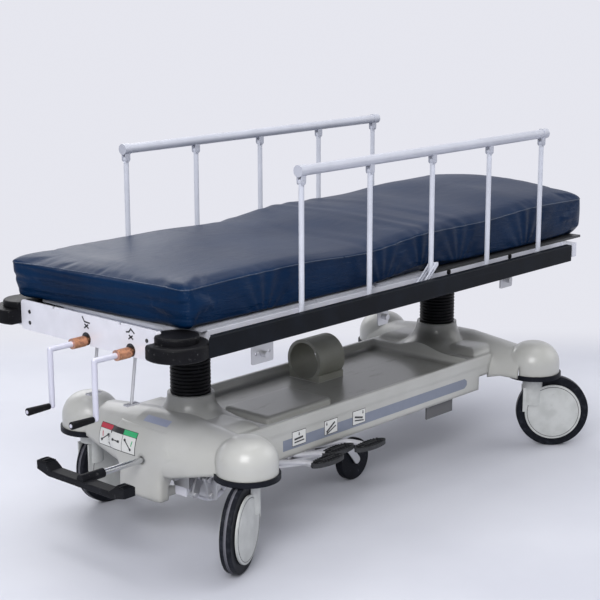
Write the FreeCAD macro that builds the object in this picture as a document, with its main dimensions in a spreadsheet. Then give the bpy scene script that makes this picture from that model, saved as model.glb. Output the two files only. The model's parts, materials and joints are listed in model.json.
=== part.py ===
import FreeCAD, Part
import math
import os
import re
import Sketcher
from FreeCAD import Placement, Rotation, Vector

# Patient transport stretcher, head end towards +X, pump pedals on the -Y side, +Z up.
# The pieces are drawn with x = 0 halfway between the casters, and moved along at the end
# so that the origin lies on the floor under the middle of the whole stretcher.

doc = FreeCAD.newDocument("stretcher")
sheet = doc.addObject("Spreadsheet::Sheet", "Sizes")
values = {}


def size(name, value, note):
    """Write one named size, in mm or degrees, with a note beside it."""
    row = len(values) + 1
    values[name] = value
    sheet.set(f"A{row}", note)
    sheet.set(f"B{row}", str(value))
    sheet.setAlias(f"B{row}", name)


# Casters and floor
size("wheel_radius", 125, "caster wheel radius")
size("tyre_width", 34, "caster tyre width")
size("trail", 69, "caster axle behind the stem")
size("axle_radius", 8, "caster axle")
size("running_gap", 0.05, "radial gap of a shaft in its hole")
size("side_gap", 0.4, "gap between faces that slide past each other")
size("cover_radius", 97, "round cheek of the caster fork")
size("cheek_thick", 6, "thickness of the caster fork cheek")
size("neck_radius", 36, "neck of the caster fork")
size("stem_radius", 12, "caster swivel stem")
size("caster_along", 714, "caster stem from the middle, along the stretcher")
size("caster_across", 338, "caster stem from the middle, across the stretcher")
size("dome_radius", 89, "hood dome over a caster")
size("dome_height", 114, "hood dome height above its ring")
size("ring_base", 252, "height of the underside of the dome rings")
size("ring_thick", 6, "dome ring thickness")
size("ring_height", 16, "dome ring height")

# Base and hood
size("wall", 5, "hood wall thickness")
size("channel_half", 225, "half width of the hood between the wheels")
size("rim_height", 328, "height of the tray rim")
size("skirt_height", 212, "height of the lower edge of the side panels")
size("tray_floor", 296, "height of the tray floor")
size("tray_half_length", 520, "half length of the tray")
size("rim_width", 13, "width of the tray rim")
size("foot_column", -608, "foot jack from the middle")
size("head_column", 599, "head jack from the middle")
size("collar_top", 415, "height of the collar round a bellows")
size("collar_radius", 70, "radius of the collar")
size("barrel_along", 697, "middle of a hood pod from the middle")
size("barrel_height", 262, "height of the middle of a hood pod")
size("barrel_middle", 111, "radius of a hood pod in its middle")
size("barrel_end", 83, "radius of a hood pod at the casters")
size("tongue_half", 45, "half width of the nose of the hood")
size("tongue_face", -806, "foot face of the nose of the hood")
size("tongue_low", 128, "height of the tip of the nose")
size("jack_radius", 42, "outer radius of the jack cylinder")
size("ram_radius", 34, "radius of the jack ram")
size("jack_low", 140, "height of the bottom of the jacks")
size("jack_high", 458, "height of the top of the jack cylinders")
size("beam_low", 234, "height of the underside of the chassis beams")
size("beam_high", 282, "height of the top of the chassis beams")
size("tunnel_radius", 62, "bore of the gas bottle tunnel")
size("tunnel_wall", 11, "wall of the gas bottle tunnel")
size("tunnel_length", 124, "length of the gas bottle tunnel")
size("tunnel_start", 15, "foot end of the gas bottle tunnel")
size("tunnel_across", 110, "gas bottle tunnel from the middle")
size("tunnel_foot", 66, "half width of the foot of the tunnel")
size("tunnel_pad", 2, "raised pad of the tray under the tunnel")

# Litter
size("bellows_radius", 61.5, "outer radius of the bellows")
size("bellows_top", 608, "height of the top of the bellows")
size("pivot_height", 655, "height of the tilt pivots")
size("pivot_radius", 15, "radius of the tilt pivot pins")
size("frame_half", 348, "half width of the litter frame")
size("frame_low", 656, "height of the underside of the litter frame")
size("deck_low", 706.3, "height of the underside of the deck panels")
size("deck_thick", 8, "thickness of the deck panels")
size("deck_half", 345, "half width of the deck")
size("hinge_height", 698, "height of the deck hinges")
size("hinge_radius", 6, "radius of the deck hinge rods")
size("back_hinge", 111, "backrest hinge from the middle")
size("thigh_hinge", -151, "thigh hinge from the middle")
size("knee_hinge", -431, "knee hinge from the middle")
size("deck_foot", -945, "foot end of the deck")
size("deck_head", 975, "head end of the deck")
size("mattress_head", 982, "head end of the mattress")
size("mattress_thick", 130, "mattress thickness")
size("mattress_foot", -965, "foot end of the mattress")
size("mattress_half", 345, "half width of the mattress")
size("back_fold_head", 90, "head part of the mattress fold at the back hinge")
size("back_fold_foot", 123, "foot part of the mattress fold at the back hinge")
size("thigh_fold_head", 36, "head part of the mattress fold at the thigh hinge")
size("thigh_fold_foot", 50, "foot part of the mattress fold at the thigh hinge")
size("strip_low", 648, "height of the underside of the bumper strip")
size("strip_high", 705, "height of the top of the bumper strip")
size("strip_inner", 381, "inner face of the bumper strip")
size("strip_outer", 403, "outer face of the bumper strip")
size("strip_head", 828, "head end of the bumper strip")
size("drum_along", -960, "corner bumper from the middle, along")
size("drum_across", 325, "corner bumper from the middle, across")
size("drum_radius", 88, "corner bumper radius")
size("drum_top", 690, "height of the top of the corner bumper")
size("cap_radius", 60, "radius of the cap on the corner bumper")
size("cap_top", 710, "height of the top of that cap")
size("bar_face", -998, "foot face of the foot bar")
size("bar_half", 289, "half width of the foot bar")
size("bar_low", 632, "height of the underside of the foot bar")
size("bar_top", 719, "height of the top of the foot bar")
size("bar_thick", 5, "foot bar sheet thickness")

# Cranks
size("crank_height", 645, "height of the crank shafts")
size("crank_spacing", 184, "distance between the crank shafts")
size("crank_throw", 158, "crank arm length")
size("crank_rod", 8, "radius of the crank rod")
size("crank_bend", -1125, "crank arm from the middle")
size("coupling_radius", 15, "radius of the crank coupling")
size("coupling_length", 52, "length of the crank coupling outside the bar")
size("grip_length", 76, "length of a crank grip")
size("grip_radius", 11, "largest radius of a crank grip")
size("grip_pin", 5, "radius of the pin in a crank grip")

# Siderails
size("rail_across", 366, "siderail plane from the middle")
size("rail_height", 1100, "height of the siderail top tube")
size("rail_tube", 15, "radius of the siderail top tube")
size("rail_foot", -529, "foot end of the siderail top tube")
size("rail_head", 694, "head end of the siderail top tube")
size("spindle_radius", 8, "spindle radius")
size("spindle_start", -518, "first spindle from the middle")
size("spindle_spacing", 298, "distance between spindles")
size("spindle_low", 668, "height of the lower spindle pivots")
size("spindle_high", 1069, "height of the upper spindle pivots")
size("eye_radius", 11, "radius of the spindle eyes")
size("pin_radius", 5, "radius of the spindle pins")
size("eye_half", 6.6, "half thickness of a spindle eye")
size("latch_offset", 68, "latch pivot short of its spindle")
size("latch_climb", 74, "rise of the latch to its pin")

# Pedals and steering wheel
size("rocker_along", -1021, "brake pedal from the middle")
size("rocker_height", 250, "height of the brake pedal shaft")
size("rocker_half", 190, "half length of the brake pedal")
size("shaft_radius", 9, "radius of the brake pedal shaft")
size("steer_radius", 70, "radius of the steering wheel")
size("steer_along", 15, "steering wheel from the middle, along")
size("steer_across", -103, "steering wheel from the middle, across")
size("steer_reach", 104, "steering wheel beyond its arm pivot")
size("steer_pivot", 196, "height of the steering arm pivot")
size("pump_shaft", 232, "height of the pump pedal shafts")
size("pump_reach", 168, "pump pedal pad beyond its shaft")

NAMES = re.compile(r"\b[a-z]\w*\b(?!\()")


def bind(item, **sizes):
    """Bind properties of an object to expressions in the named sizes."""
    for key, text in sizes.items():
        path = key.replace("__", ".")
        item.setExpression(path, NAMES.sub(lambda m: "Sizes." + m.group(0), str(text)))
    return item


def at(item, x=0, y=0, z=0):
    return bind(item, Placement__Base__x=x, Placement__Base__y=y, Placement__Base__z=z)


def add(kind, label):
    item = doc.addObject(kind, "Piece")
    item.Label = label
    return item


def box(label, x, y, z):
    """A box from three pairs of low and high expressions."""
    item = at(add("Part::Box", label), x[0], y[0], z[0])
    return bind(
        item,
        Length=f"({x[1]}) - ({x[0]})",
        Width=f"({y[1]}) - ({y[0]})",
        Height=f"({z[1]}) - ({z[0]})",
    )


TURN = {
    "Z": Rotation(),
    "X": Rotation(Vector(0, 1, 0), 90),
    "Y": Rotation(Vector(1, 0, 0), -90),
}


def rod(label, axis, radius, start, end, *place):
    """A cylinder along an axis; place holds its other two coordinates in order."""
    item = add("Part::Cylinder", label)
    item.Placement = Placement(Vector(), TURN[axis])
    bind(item, Radius=radius, Height=f"({end}) - ({start})")
    spot = list(place)
    spot.insert("XYZ".index(axis), start)
    return at(item, *spot)


def taper(label, axis, first, second, start, end, *place):
    item = add("Part::Cone", label)
    item.Placement = Placement(Vector(), TURN[axis])
    bind(item, Radius1=first, Radius2=second, Height=f"({end}) - ({start})")
    spot = list(place)
    spot.insert("XYZ".index(axis), start)
    return at(item, *spot)


def fuse(label, *items):
    item = add("Part::MultiFuse", label)
    item.Shapes = list(items)
    item.Refine = True
    return item


def cut(label, base, *tools):
    tool = tools[0] if len(tools) == 1 else fuse(label + " tools", *tools)
    item = add("Part::Cut", label)
    item.Base, item.Tool = base, tool
    return item


def group(label, *items):
    """Separate solids under one name."""
    item = add("Part::Compound", label)
    item.Links = list(items)
    return item


def placed(label, item, x, y, z, turn=0):
    """The same piece again, moved and turned about the vertical."""
    copy = group(label, item)
    copy.Placement = Placement(Vector(), Rotation(Vector(0, 0, 1), turn))
    return at(copy, x, y, z)


def rounded(label, item, radius, pick):
    """Fillet the edges that pick chooses from their middle point and direction."""
    doc.recompute()
    chosen = []
    for number, edge in enumerate(item.Shape.Edges, 1):
        middle = edge.valueAt((edge.FirstParameter + edge.LastParameter) / 2)
        along = edge.tangentAt((edge.FirstParameter + edge.LastParameter) / 2)
        if pick(middle, along):
            chosen.append((number, radius, radius))
    piece = add("Part::Fillet", label)
    piece.Base, piece.Edges = item, chosen
    return piece


def eval_size(text):
    """The present value of an expression in the named sizes."""
    text = NAMES.sub(lambda m: str(values[m.group(0)]), str(text))
    total = sheet.evalExpression(text)
    return float(getattr(total, "Value", total))


def outline(label, role, corners):
    """A closed sketch through corners given as pairs of expressions."""
    sketch = doc.addObject("Sketcher::SketchObject", "Outline")
    sketch.Label = label
    sketch.Placement = {
        "XY": Placement(),
        "XZ": Placement(Vector(), Rotation(Vector(1, 0, 0), 90)),
        "YZ": Placement(Vector(), Rotation(Vector(1, 1, 1), 120)),
    }[role]
    spots = [Vector(*(eval_size(text) for text in corner), 0) for corner in corners]
    for number, spot in enumerate(spots):
        sketch.addGeometry(Part.LineSegment(spot, spots[(number + 1) % len(spots)]))
    for number in range(len(spots)):
        after = (number + 1) % len(spots)
        sketch.addConstraint(Sketcher.Constraint("Coincident", number, 2, after, 1))
    for number, (across, up) in enumerate(corners):
        for kind, text, value in (
            ("DistanceX", across, spots[number].x),
            ("DistanceY", up, spots[number].y),
        ):
            index = sketch.addConstraint(
                Sketcher.Constraint(kind, -1, 1, number, 1, value)
            )
            bind(sketch, **{f"Constraints[{index}]": text})
    return sketch


def extruded(label, sketch, along, length):
    item = add("Part::Extrusion", label)
    item.Base = sketch
    item.DirMode = "Custom"
    item.Dir = Vector(*along)
    item.Solid = True
    bind(item, LengthFwd=length)
    return item


def revolved(label, sketch, axis=(0, 0, 1)):
    item = add("Part::Revolution", label)
    item.Source = sketch
    item.Axis = Vector(*axis)
    item.Angle = 360
    item.Solid = True
    return item


# Caster: the fork with its stem, and the wheel, both about a stem at the origin
cheek_in = "tyre_width / 2 + 3"
cheek_out = "tyre_width / 2 + 3 + cheek_thick"


def cheek(side):
    low, high = (f"-({cheek_out})", f"-({cheek_in})") if side < 0 else (cheek_in, cheek_out)
    disc = rod("cheek", "Y", "cover_radius", low, high, "trail", "wheel_radius")
    web = box("cheek web", ("-neck_radius", "trail"), (low, high), ("wheel_radius", "212"))
    return fuse("cheek side", disc, web)


neck = rod("neck", "Z", "neck_radius", "150", "ring_base", 0, 0)
neck_slot = box("neck slot", ("-200", "200"), (f"-({cheek_in})", cheek_in), ("0", "212"))
room = rod("wheel room", "Y", "wheel_radius + 3.5", f"-({cheek_in})", cheek_in, "trail", "wheel_radius")
stem = rod("stem", "Z", "stem_radius", "ring_base - 1", "beam_high + 34", 0, 0)
axle = rod("axle", "Y", "axle_radius", f"-({cheek_out}) - 3", f"({cheek_out}) + 3", "trail", "wheel_radius")
fork = fuse("fork", cut("neck cut", neck, neck_slot, room), cheek(-1), cheek(1), axle, stem)

tread = rod("tread", "Y", "wheel_radius", "-tyre_width / 2", "tyre_width / 2", "trail", "wheel_radius")
tread = rounded("tread edge", tread, 5, lambda m, t: abs(t.y) < 0.5)
groove = cut(
    "groove",
    rod("groove out", "Y", "wheel_radius + 5", "-3", "3", "trail", "wheel_radius"),
    rod("groove in", "Y", "wheel_radius - 4", "-4", "4", "trail", "wheel_radius"),
)
dish = [
    cut(
        f"dish {side}",
        rod("dish", "Y", "cover_radius", low, high, "trail", "wheel_radius"),
        rod("dish hub", "Y", "28", low, high, "trail", "wheel_radius"),
    )
    for side, low, high in ((0, "-tyre_width", "-9"), (1, "9", "tyre_width"))
]
wheel = cut(
    "wheel",
    fuse(
        "wheel body",
        cut("tread cut", tread, groove, *dish),
        rod("hub", "Y", "24", f"-({cheek_in}) + side_gap", f"{cheek_in} - side_gap", "trail",
            "wheel_radius"),
    ),
    rod("axle hole", "Y", "axle_radius + running_gap", "-60", "60", "trail", "wheel_radius"),
)

CORNERS = {
    "near_foot": (-1, -1, 205),
    "far_foot": (-1, 1, 1),
    "near_head": (1, -1, -49),
    "far_head": (1, 1, 49),
}
nodes = []
for name, (along, across, turn) in CORNERS.items():
    spot = (f"{along} * caster_along", f"{across} * caster_across", 0)
    nodes.append(placed(f"caster_fork_{name}", fork, *spot, turn))
    nodes.append(placed(f"caster_wheel_{name}", wheel, *spot, turn))

# Hood: two pods over the casters, joined by a channel with a tray in its top
def pod(label, sign, thin):
    """A barrel lying across the stretcher, thickest in the middle, with a block towards the tray."""
    line = (f"{sign} * barrel_along", "barrel_height")
    pieces = [
        taper("barrel side", "Y", f"barrel_end - {thin}", f"barrel_middle - {thin}", "-caster_across", "-70",
              *line),
        rod("barrel middle", "Y", f"barrel_middle - {thin}", "-70", "70", *line),
        taper("barrel side", "Y", f"barrel_middle - {thin}", f"barrel_end - {thin}", "70", "caster_across",
              *line),
    ]
    ends = sorted((f"{sign} * barrel_along", f"{sign} * (tray_half_length + 8) + {sign} * {thin}"),
                  key=lambda text: eval_size(text))
    block = box("pod block", ends, (f"{thin} - 218", f"218 - {thin}"), ("190", f"352 - {thin}"))
    pieces.append(rounded("pod shoulder", block, 46 - eval_size(thin) * 0.5,
                          lambda m, t: m.z > 345 - eval_size(thin) and sign * m.x < 640))
    return fuse(label, *pieces)


def dome(label, along, across, thin):
    """A round-topped cover over a caster."""
    spot = (f"{along} * caster_along", f"{across} * caster_across")
    drum = rod(label + " drum", "Z", f"dome_radius - {thin}", "ring_base + ring_thick",
               f"ring_base + ring_thick + dome_height - {thin}", *spot)
    return rounded(label, drum, 74, lambda m, t: m.z > 340 and abs(t.z) < 0.5)


def bell(label, column):
    """A collar that flares down onto the pod along a quarter circle."""
    flare = add("Part::Torus", "flare")
    bind(flare, Radius1="collar_radius + 86", Radius2="86")
    at(flare, column, 0, "collar_top")
    return cut(label, rod("bell core", "Z", "collar_radius + 86", "300", "collar_top", column, 0), flare)


below = extruded(
    "below the hood",
    outline(
        "below outline",
        "YZ",
        [
            ("-600", "-20"),
            ("600", "-20"),
            ("600", "ring_base + ring_thick"),
            ("270", "ring_base + ring_thick"),
            ("100", "skirt_height"),
            ("-100", "skirt_height"),
            ("-270", "ring_base + ring_thick"),
            ("-600", "ring_base + ring_thick"),
        ],
    ),
    (1, 0, 0),
    "2400",
)
at(below, "-1200", 0, 0)
pods = [
    cut("pods cut", fuse("pods", pod("foot pod", -1, 0), pod("head pod", 1, 0)), below)
]
outside = pods + [dome("dome", a, b, 0) for a, b, t in CORNERS.values()]
outside += [bell("foot bell", "foot_column"), bell("head bell", "head_column")]
outside += [
    box("channel", ("-548", "548"), ("-channel_half", "channel_half"), ("skirt_height", "rim_height")),
    box("shoulders", ("-622", "622"), ("-channel_half", "channel_half"),
        ("ring_base + ring_thick", "rim_height")),
]
tongue = rounded(
    "tongue",
    box("tongue block", ("tongue_face", "-700"), ("-tongue_half", "tongue_half"), ("tongue_low", "262")),
    12,
    lambda m, t: m.x < -740 and m.z < 250,
)
inside = [pod("foot pod inside", -1, "wall"), pod("head pod inside", 1, "wall")]
inside += [dome("dome inside", a, b, "wall") for a, b, t in CORNERS.values()]
for column in ("foot_column", "head_column"):
    inside.append(rod("bell inside", "Z", "62", "280", "collar_top - wall - 1", column, 0))
    inside.append(rod("collar hole", "Z", "52", "400", "collar_top + 5", column, 0))
inside += [
    box("channel inside", ("-560", "560"), ("wall - channel_half", "channel_half - wall"),
        ("180", "tray_floor - wall")),
    box("shoulders inside", ("-617", "617"), ("wall - channel_half", "channel_half - wall"),
        ("230", "tray_floor - wall")),
    box(
        "tongue inside",
        ("tongue_face + wall", "-690"),
        ("wall - tongue_half", "tongue_half - wall"),
        ("tongue_low + wall", "262"),
    ),
    rod("pedal shaft hole", "X", "shaft_radius + 2", "tongue_face - 5", "tongue_face + 20", 0,
        "rocker_height"),
]
tray = rounded(
    "tray",
    box(
        "tray block",
        ("-tray_half_length + 20", "tray_half_length - 20"),
        ("rim_width - channel_half", "channel_half - rim_width"),
        ("tray_floor", "rim_height + 30"),
    ),
    14,
    lambda m, t: m.z < values["rim_height"] + 20,
)
step = rounded(
    "tray step",
    box("step block", ("-430", "-140"), ("-150", "40"), ("tray_floor - 2", "tray_floor + 26")),
    10,
    lambda m, t: m.z > values["tray_floor"],
)
step_inside = box("step inside", ("-425", "-145"), ("-145", "35"), ("tray_floor - 8", "tray_floor + 20"))
tunnel_end = "tunnel_start + tunnel_length"
tunnel_wide = ("tunnel_across - tunnel_foot", "tunnel_across + tunnel_foot")
pad = box("tunnel pad", ("tunnel_start", tunnel_end), tunnel_wide,
          ("tray_floor - 2", "tray_floor + tunnel_pad"))
shell = cut("hood shell", fuse("hood outside", *outside, tongue), tray, *inside)
hood = cut("hood", fuse("hood with step", shell, step, pad), step_inside)
nodes.append(hood)

ring = cut(
    "dome ring",
    rod("ring body", "Z", "dome_radius + ring_thick", "ring_base", "ring_base + ring_height", 0, 0),
    rod("ring hole", "Z", "dome_radius - wall", "0", "ring_base + ring_thick", 0, 0),
    rod("ring seat", "Z", "dome_radius", "ring_base + ring_thick", "600", 0, 0),
)
rings = [
    placed(f"dome ring {name}", ring, f"{a} * caster_along", f"{b} * caster_across", 0)
    for name, (a, b, t) in CORNERS.items()
]
nodes.append(cut("dome_rings", group("rings", *rings), *pods))

# Chassis beams, caster sockets, jack plates and the shafts of the pedals
beams = []
for sign in (-1, 1):
    edges = sorted((f"{sign} * 90", f"{sign} * 130"), key=eval_size)
    beams.append(box("long beam", ("-caster_along", "caster_along"), edges, ("beam_low", "beam_high")))
    ends = (f"{sign} * caster_along - 20", f"{sign} * caster_along + 20")
    beams.append(box("cross beam", ends, ("-caster_across", "caster_across"),
                     ("ring_base + ring_height + side_gap", "302")))
for name, (along, across, turn) in CORNERS.items():
    spot = (f"{along} * caster_along", f"{across} * caster_across")
    beams.append(rod("socket", "Z", "24", "ring_base + side_gap", "beam_high + 36", *spot))
for column in ("foot_column", "head_column"):
    beams.append(box("jack plate", (f"{column} - 60", f"{column} + 60"), ("-110", "110"), ("272", "282")))
beams.append(box("pedal bearing", ("-740", "-700"), ("-22", "22"), ("rocker_height - 16", "272")))
steer_line = ("steer_along - steer_reach", "steer_pivot")
for low, high in (("steer_across + 26", "steer_across + 32"), ("steer_across - 32", "steer_across - 26")):
    beams.append(
        box("steering bracket", ("steer_along - steer_reach - 16", "steer_along - steer_reach + 16"),
            (low, high), ("steer_pivot - 14", "beam_low + 4"))
    )
beams.append(
    box("steering plate", ("steer_along - steer_reach - 30", "steer_along - steer_reach + 30"),
        ("steer_across - 32", "steer_across + 32"), ("beam_low - 5", "beam_low + 4"))
)
beams.append(rod("steering pin", "Y", "axle_radius", "steer_across - 32", "steer_across + 32", *steer_line))
beams.append(box("skirt bracket", ("271", "413"), ("12 - channel_half", "18 - channel_half"),
                 ("165", "beam_low + 8")))
beams.append(box("skirt bracket arm", ("300", "384"), ("13 - channel_half", "-120"),
                 ("beam_low + 2", "beam_low + 8")))
PUMPS = {"foot": (-498, 0), "middle": (-403, 42), "head": (-298, 0)}
for along, across in PUMPS.values():
    beams.append(rod("pump shaft", "Y", "axle_radius", "-218", "-110", along, "pump_shaft"))
holes = [
    rod("stem hole", "Z", "stem_radius + running_gap", "200", "400", f"{a} * caster_along",
        f"{b} * caster_across")
    for a, b, t in CORNERS.values()
]
holes += [rod("jack hole", "Z", "jack_radius", "200", "400", c, 0) for c in ("foot_column", "head_column")]
holes.append(rod("pedal hole", "X", "shaft_radius + running_gap", "-760", "-680", 0, "rocker_height"))
nodes.append(cut("chassis", fuse("beams", *beams), *holes))

cylinders = [
    cut("jack cylinder", rod("jack out", "Z", "jack_radius", "jack_low", "jack_high", c, 0),
        rod("jack in", "Z", "ram_radius + running_gap", "jack_low + 6", "jack_high + 5", c, 0))
    for c in ("foot_column", "head_column")
]
nodes.append(group("jack_cylinders", *cylinders))

# Gas bottle tunnel on the tray
tunnel_height = "tray_floor + tunnel_radius + 4"
tunnel_out = rod("tunnel out", "X", "tunnel_radius + tunnel_wall", "tunnel_start", tunnel_end,
                 "tunnel_across", tunnel_height)
foot_block = box("tunnel foot", ("tunnel_start", tunnel_end),
                 tunnel_wide, ("tray_floor", "tray_floor + 24"))
tunnel = cut(
    "bottle_tunnel",
    fuse("tunnel body", tunnel_out, foot_block),
    rod("tunnel bore", "X", "tunnel_radius", "0", "400", "tunnel_across", tunnel_height),
    box("tunnel under", ("0", "400"), ("0", "250"), ("200", "tray_floor + tunnel_pad")),
)
nodes.append(tunnel)

# Brake linkage and its tube under the foot pod
linkage = [
    box("link bracket", ("-740", "-734"), ("-126", "-62"), ("172", "296")),
    box("link bar", ("-735", "-721"), ("-122", "-110"), ("178", "250")),
    rod("link bolt", "X", "7", "-756", "-720", "-78", "196"),
    rod("link bolt", "X", "7", "-756", "-720", "-112", "214"),
    rod("link roller", "X", "13", "-738", "-716", "-80", "218"),
    rod("link tube", "X", "6", "-738", "-560", "-100", "186"),
    box("link hanger", ("-566", "-560"), ("-110", "-91"), ("180", "beam_low")),
]
nodes.append(fuse("brake_linkage", *linkage))

# Jack rams, bellows and the tilt pivots
for end, column in (("foot", "foot_column"), ("head", "head_column")):
    ram = [
        rod("ram", "Z", "ram_radius", "jack_low + 160", "bellows_top + 4", column, 0),
        rod("ram plate", "Z", "bellows_radius", "bellows_top", "bellows_top + 6", column, 0),
        rod("ram neck", "Z", "26", "bellows_top", "pivot_height", column, 0),
        rod("pivot pin", "Y", "pivot_radius", "-62", "62", column, "pivot_height"),
    ]
    nodes.append(fuse(f"{end}_ram", *ram))
    folds = 9
    corners = [("50.5", "collar_top"), ("bellows_radius - 5", "collar_top")]
    for fold in range(folds):
        base = f"collar_top + (bellows_top - collar_top) * {fold} / {folds}"
        rise = f"(bellows_top - collar_top) / {folds}"
        corners.append(("bellows_radius", f"{base} + {rise} * 0.3"))
        corners.append(("bellows_radius", f"{base} + {rise} * 0.7"))
        corners.append(("bellows_radius - 5", f"{base} + {rise}"))
    corners.append(("50.5", "bellows_top"))
    gaiter = revolved("gaiter", outline("gaiter outline", "XZ", corners))
    nodes.append(placed(f"{end}_bellows", gaiter, column, 0, 0))

# Litter frame with its cross members, pivot ears and hinge rods
frame = []
for sign in (-1, 1):
    edges = sorted((f"{sign} * frame_half", f"{sign} * (frame_half - 30)"), key=eval_size)
    frame.append(box("side tube", ("-868", "850"), edges, ("frame_low", "deck_low")))
    wide = sorted((f"{sign} * 228", f"{sign} * 352"), key=eval_size)
    frame.append(box("corner plate", ("bar_face + 16", "-820"), wide, ("strip_low - 12", "strip_low")))
    frame.append(box("corner web", ("-868", "-820"), edges, ("strip_low - 12", "deck_low")))
frame += [
    box("foot member", ("-975", "-945"), ("-234", "234"), ("strip_low - 12", "700")),
    box("foot tie", ("-948", "-840"), ("-234", "-204"), ("frame_low", "690")),
    box("foot tie", ("-948", "-840"), ("204", "234"), ("frame_low", "690")),
    box("second member", ("-860", "-835"), ("-320", "320"), ("frame_low", "694")),
    box("head member", ("820", "850"), ("-320", "320"), ("frame_low", "694")),
    box("head bar", ("850", "876"), ("-392", "392"), ("strip_low + 10", "deck_low")),
    box("crank bearing", ("-700", "-680"), ("-crank_spacing - 26", "26"), ("crank_height - 14", "690")),
    box("crank member", ("-700", "-670"), ("-320", "320"), ("668", "690")),
]
for column, reach in (("foot_column", 0), ("head_column", 4)):
    frame.append(
        box("pivot member", (f"{column} - 45 + {reach}", f"{column} + 45 + {reach}"), ("-320", "320"),
            ("676", "692"))
    )
    for low, high in (("-60", "-50"), ("50", "60")):
        frame.append(
            box("pivot ear", (f"{column} - 32 + {reach}", f"{column} + 32 + {reach}"), (low, high),
                ("632", "680"))
        )
for place in ("back_hinge", "thigh_hinge"):
    frame.append(rod("hinge rod", "Y", "hinge_radius", "-320", "320", place, "hinge_height"))
ram_room = [rod("foot pivot hole", "Y", "pivot_radius + running_gap", "-70", "70", "foot_column",
                "pivot_height")]
slot = [
    rod("slot end", "Y", "pivot_radius + 1.2", "-70", "70", f"head_column + {shift}", "pivot_height")
    for shift in (-2, 10)
]
slot.append(box("slot middle", ("head_column - 2", "head_column + 10"), ("-70", "70"),
                ("pivot_height - pivot_radius - 1.2", "pivot_height + pivot_radius + 1.2")))
crank_holes = [
    rod("crank hole", "X", "crank_rod + running_gap", "-1000", "-600", f"-crank_spacing * {n}",
        "crank_height")
    for n in (0, 1)
]
nodes.append(cut("litter_frame", fuse("frame body", *frame), *ram_room, *slot, *crank_holes))

# Foot bar with its crank holes and notches
bar = rounded(
    "bar corners",
    box("bar block", ("bar_face", "bar_face + 40"), ("-bar_half", "bar_half"), ("bar_low", "bar_top")),
    12,
    lambda m, t: abs(t.x) > 0.9,
)
bar_tools = [
    box("bar hollow", ("bar_face + bar_thick", "bar_face + 60"),
        ("bar_thick - bar_half", "bar_half - bar_thick"), ("bar_low + 4", "bar_top + 9")),
    box("bar end room", ("bar_face + 16", "bar_face + 60"), ("-400", "-226"), ("600", "740")),
    box("bar end room", ("bar_face + 16", "bar_face + 60"), ("226", "400"), ("600", "740")),
]
for n in (0, 1):
    bar_tools.append(
        rod("bar hole", "X", "coupling_radius + 1.5", "bar_face - 9", "bar_face + 60",
            f"-crank_spacing * {n}", "crank_height")
    )
for spot in ("-142", "142"):
    bar_tools.append(box("notch", ("bar_face - 9", "bar_face + 60"), (f"{spot} - 5", f"{spot} + 5"),
                         ("bar_top - 7", "bar_top + 9")))
nodes.append(cut("foot_bar", bar, *bar_tools))

# Bumper strips and the round corner bumpers at the foot end
drum_room = [
    rod("drum room", "Z", "drum_radius + side_gap", "600", "760", "drum_along", f"{sign} * drum_across")
    for sign in (-1, 1)
]
strips = []
for sign in (-1, 1):
    edges = sorted((f"{sign} * strip_inner", f"{sign} * strip_outer"), key=eval_size)
    strip = box("strip block", ("drum_along", "strip_head"), edges, ("strip_low", "strip_high"))
    strips.append(rounded("strip", strip, 4,
                          lambda m, t: abs(t.x) > 0.9 and abs(m.y) > values["strip_inner"] + 5))
nodes.append(cut("bumper_strips", group("strips", *strips), *drum_room))
drums = []
for sign in (-1, 1):
    spot = ("drum_along", f"{sign} * drum_across")
    drum = rounded("drum edge", rod("drum", "Z", "drum_radius", "strip_low", "drum_top", *spot), 8,
                   lambda m, t: abs(t.z) < 0.5)
    cap = rounded("cap edge", rod("cap", "Z", "cap_radius", "drum_top - 1", "cap_top", *spot), 7,
                  lambda m, t: abs(t.z) < 0.5 and m.z > 700)
    drums.append(fuse("drum with cap", drum, cap))
notch = box("bar notch", ("-1100", "bar_face + 16.4"), ("-bar_half - 1", "bar_half + 1"), ("600", "760"))
nodes.append(cut("corner_bumpers", group("drums", *drums), notch))

# Deck panels with hinge eyes
def eyes(label, line, spots, reach):
    """Hinge eyes under a panel, each an eye and a short arm towards the panel."""
    made = []
    for spot in spots:
        made.append(rod("eye", "Y", "hinge_radius + 2", f"{spot}", f"{spot} + 30", line, "hinge_height"))
        ends = sorted((line, f"{line} + {reach}"), key=eval_size)
        made.append(box("eye arm", ends, (f"{spot}", f"{spot} + 30"), ("hinge_height - 6", "deck_low + 1")))
    return made


def panel(label, x, arms, lines):
    plate = box(label + " plate", x, ("-deck_half", "deck_half"), ("deck_low", "deck_low + deck_thick"))
    body = fuse(label + " body", plate, *arms)
    tools = [rod("eye hole", "Y", "hinge_radius + running_gap", "-400", "400", line, "hinge_height")
             for line in lines]
    return cut(label, body, *tools) if tools else fuse(label, plate, *arms)


seat_x = ("thigh_hinge + 18", "back_hinge - 12")
seat = box("seat plate", seat_x, ("-deck_half", "deck_half"), ("deck_low", "deck_low + deck_thick"))
seat_ribs = [box("seat rib", ("-100", "-70"), ("30 - frame_half", "frame_half - 30"), ("680", "deck_low")),
             box("seat rib", ("50", "80"), ("30 - frame_half", "frame_half - 30"), ("680", "deck_low"))]
nodes.append(fuse("seat_panel", seat, *seat_ribs))
nodes.append(panel("back_panel", ("back_hinge + 18", "deck_head"),
                   eyes("back", "back_hinge", ("-290", "-15", "260"), "40"), ["back_hinge"]))
nodes.append(panel("thigh_panel", ("knee_hinge + 4", "thigh_hinge - 18"),
                   eyes("thigh", "thigh_hinge", ("-290", "260"), "-40")
                   + eyes("knee", "knee_hinge", ("-260", "230"), "40"), ["thigh_hinge", "knee_hinge"]))
knee_rods = [rod("knee rod", "Y", "hinge_radius", low, high, "knee_hinge", "hinge_height")
             for low, high in (("-262", "-193"), ("193", "262"))]
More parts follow.
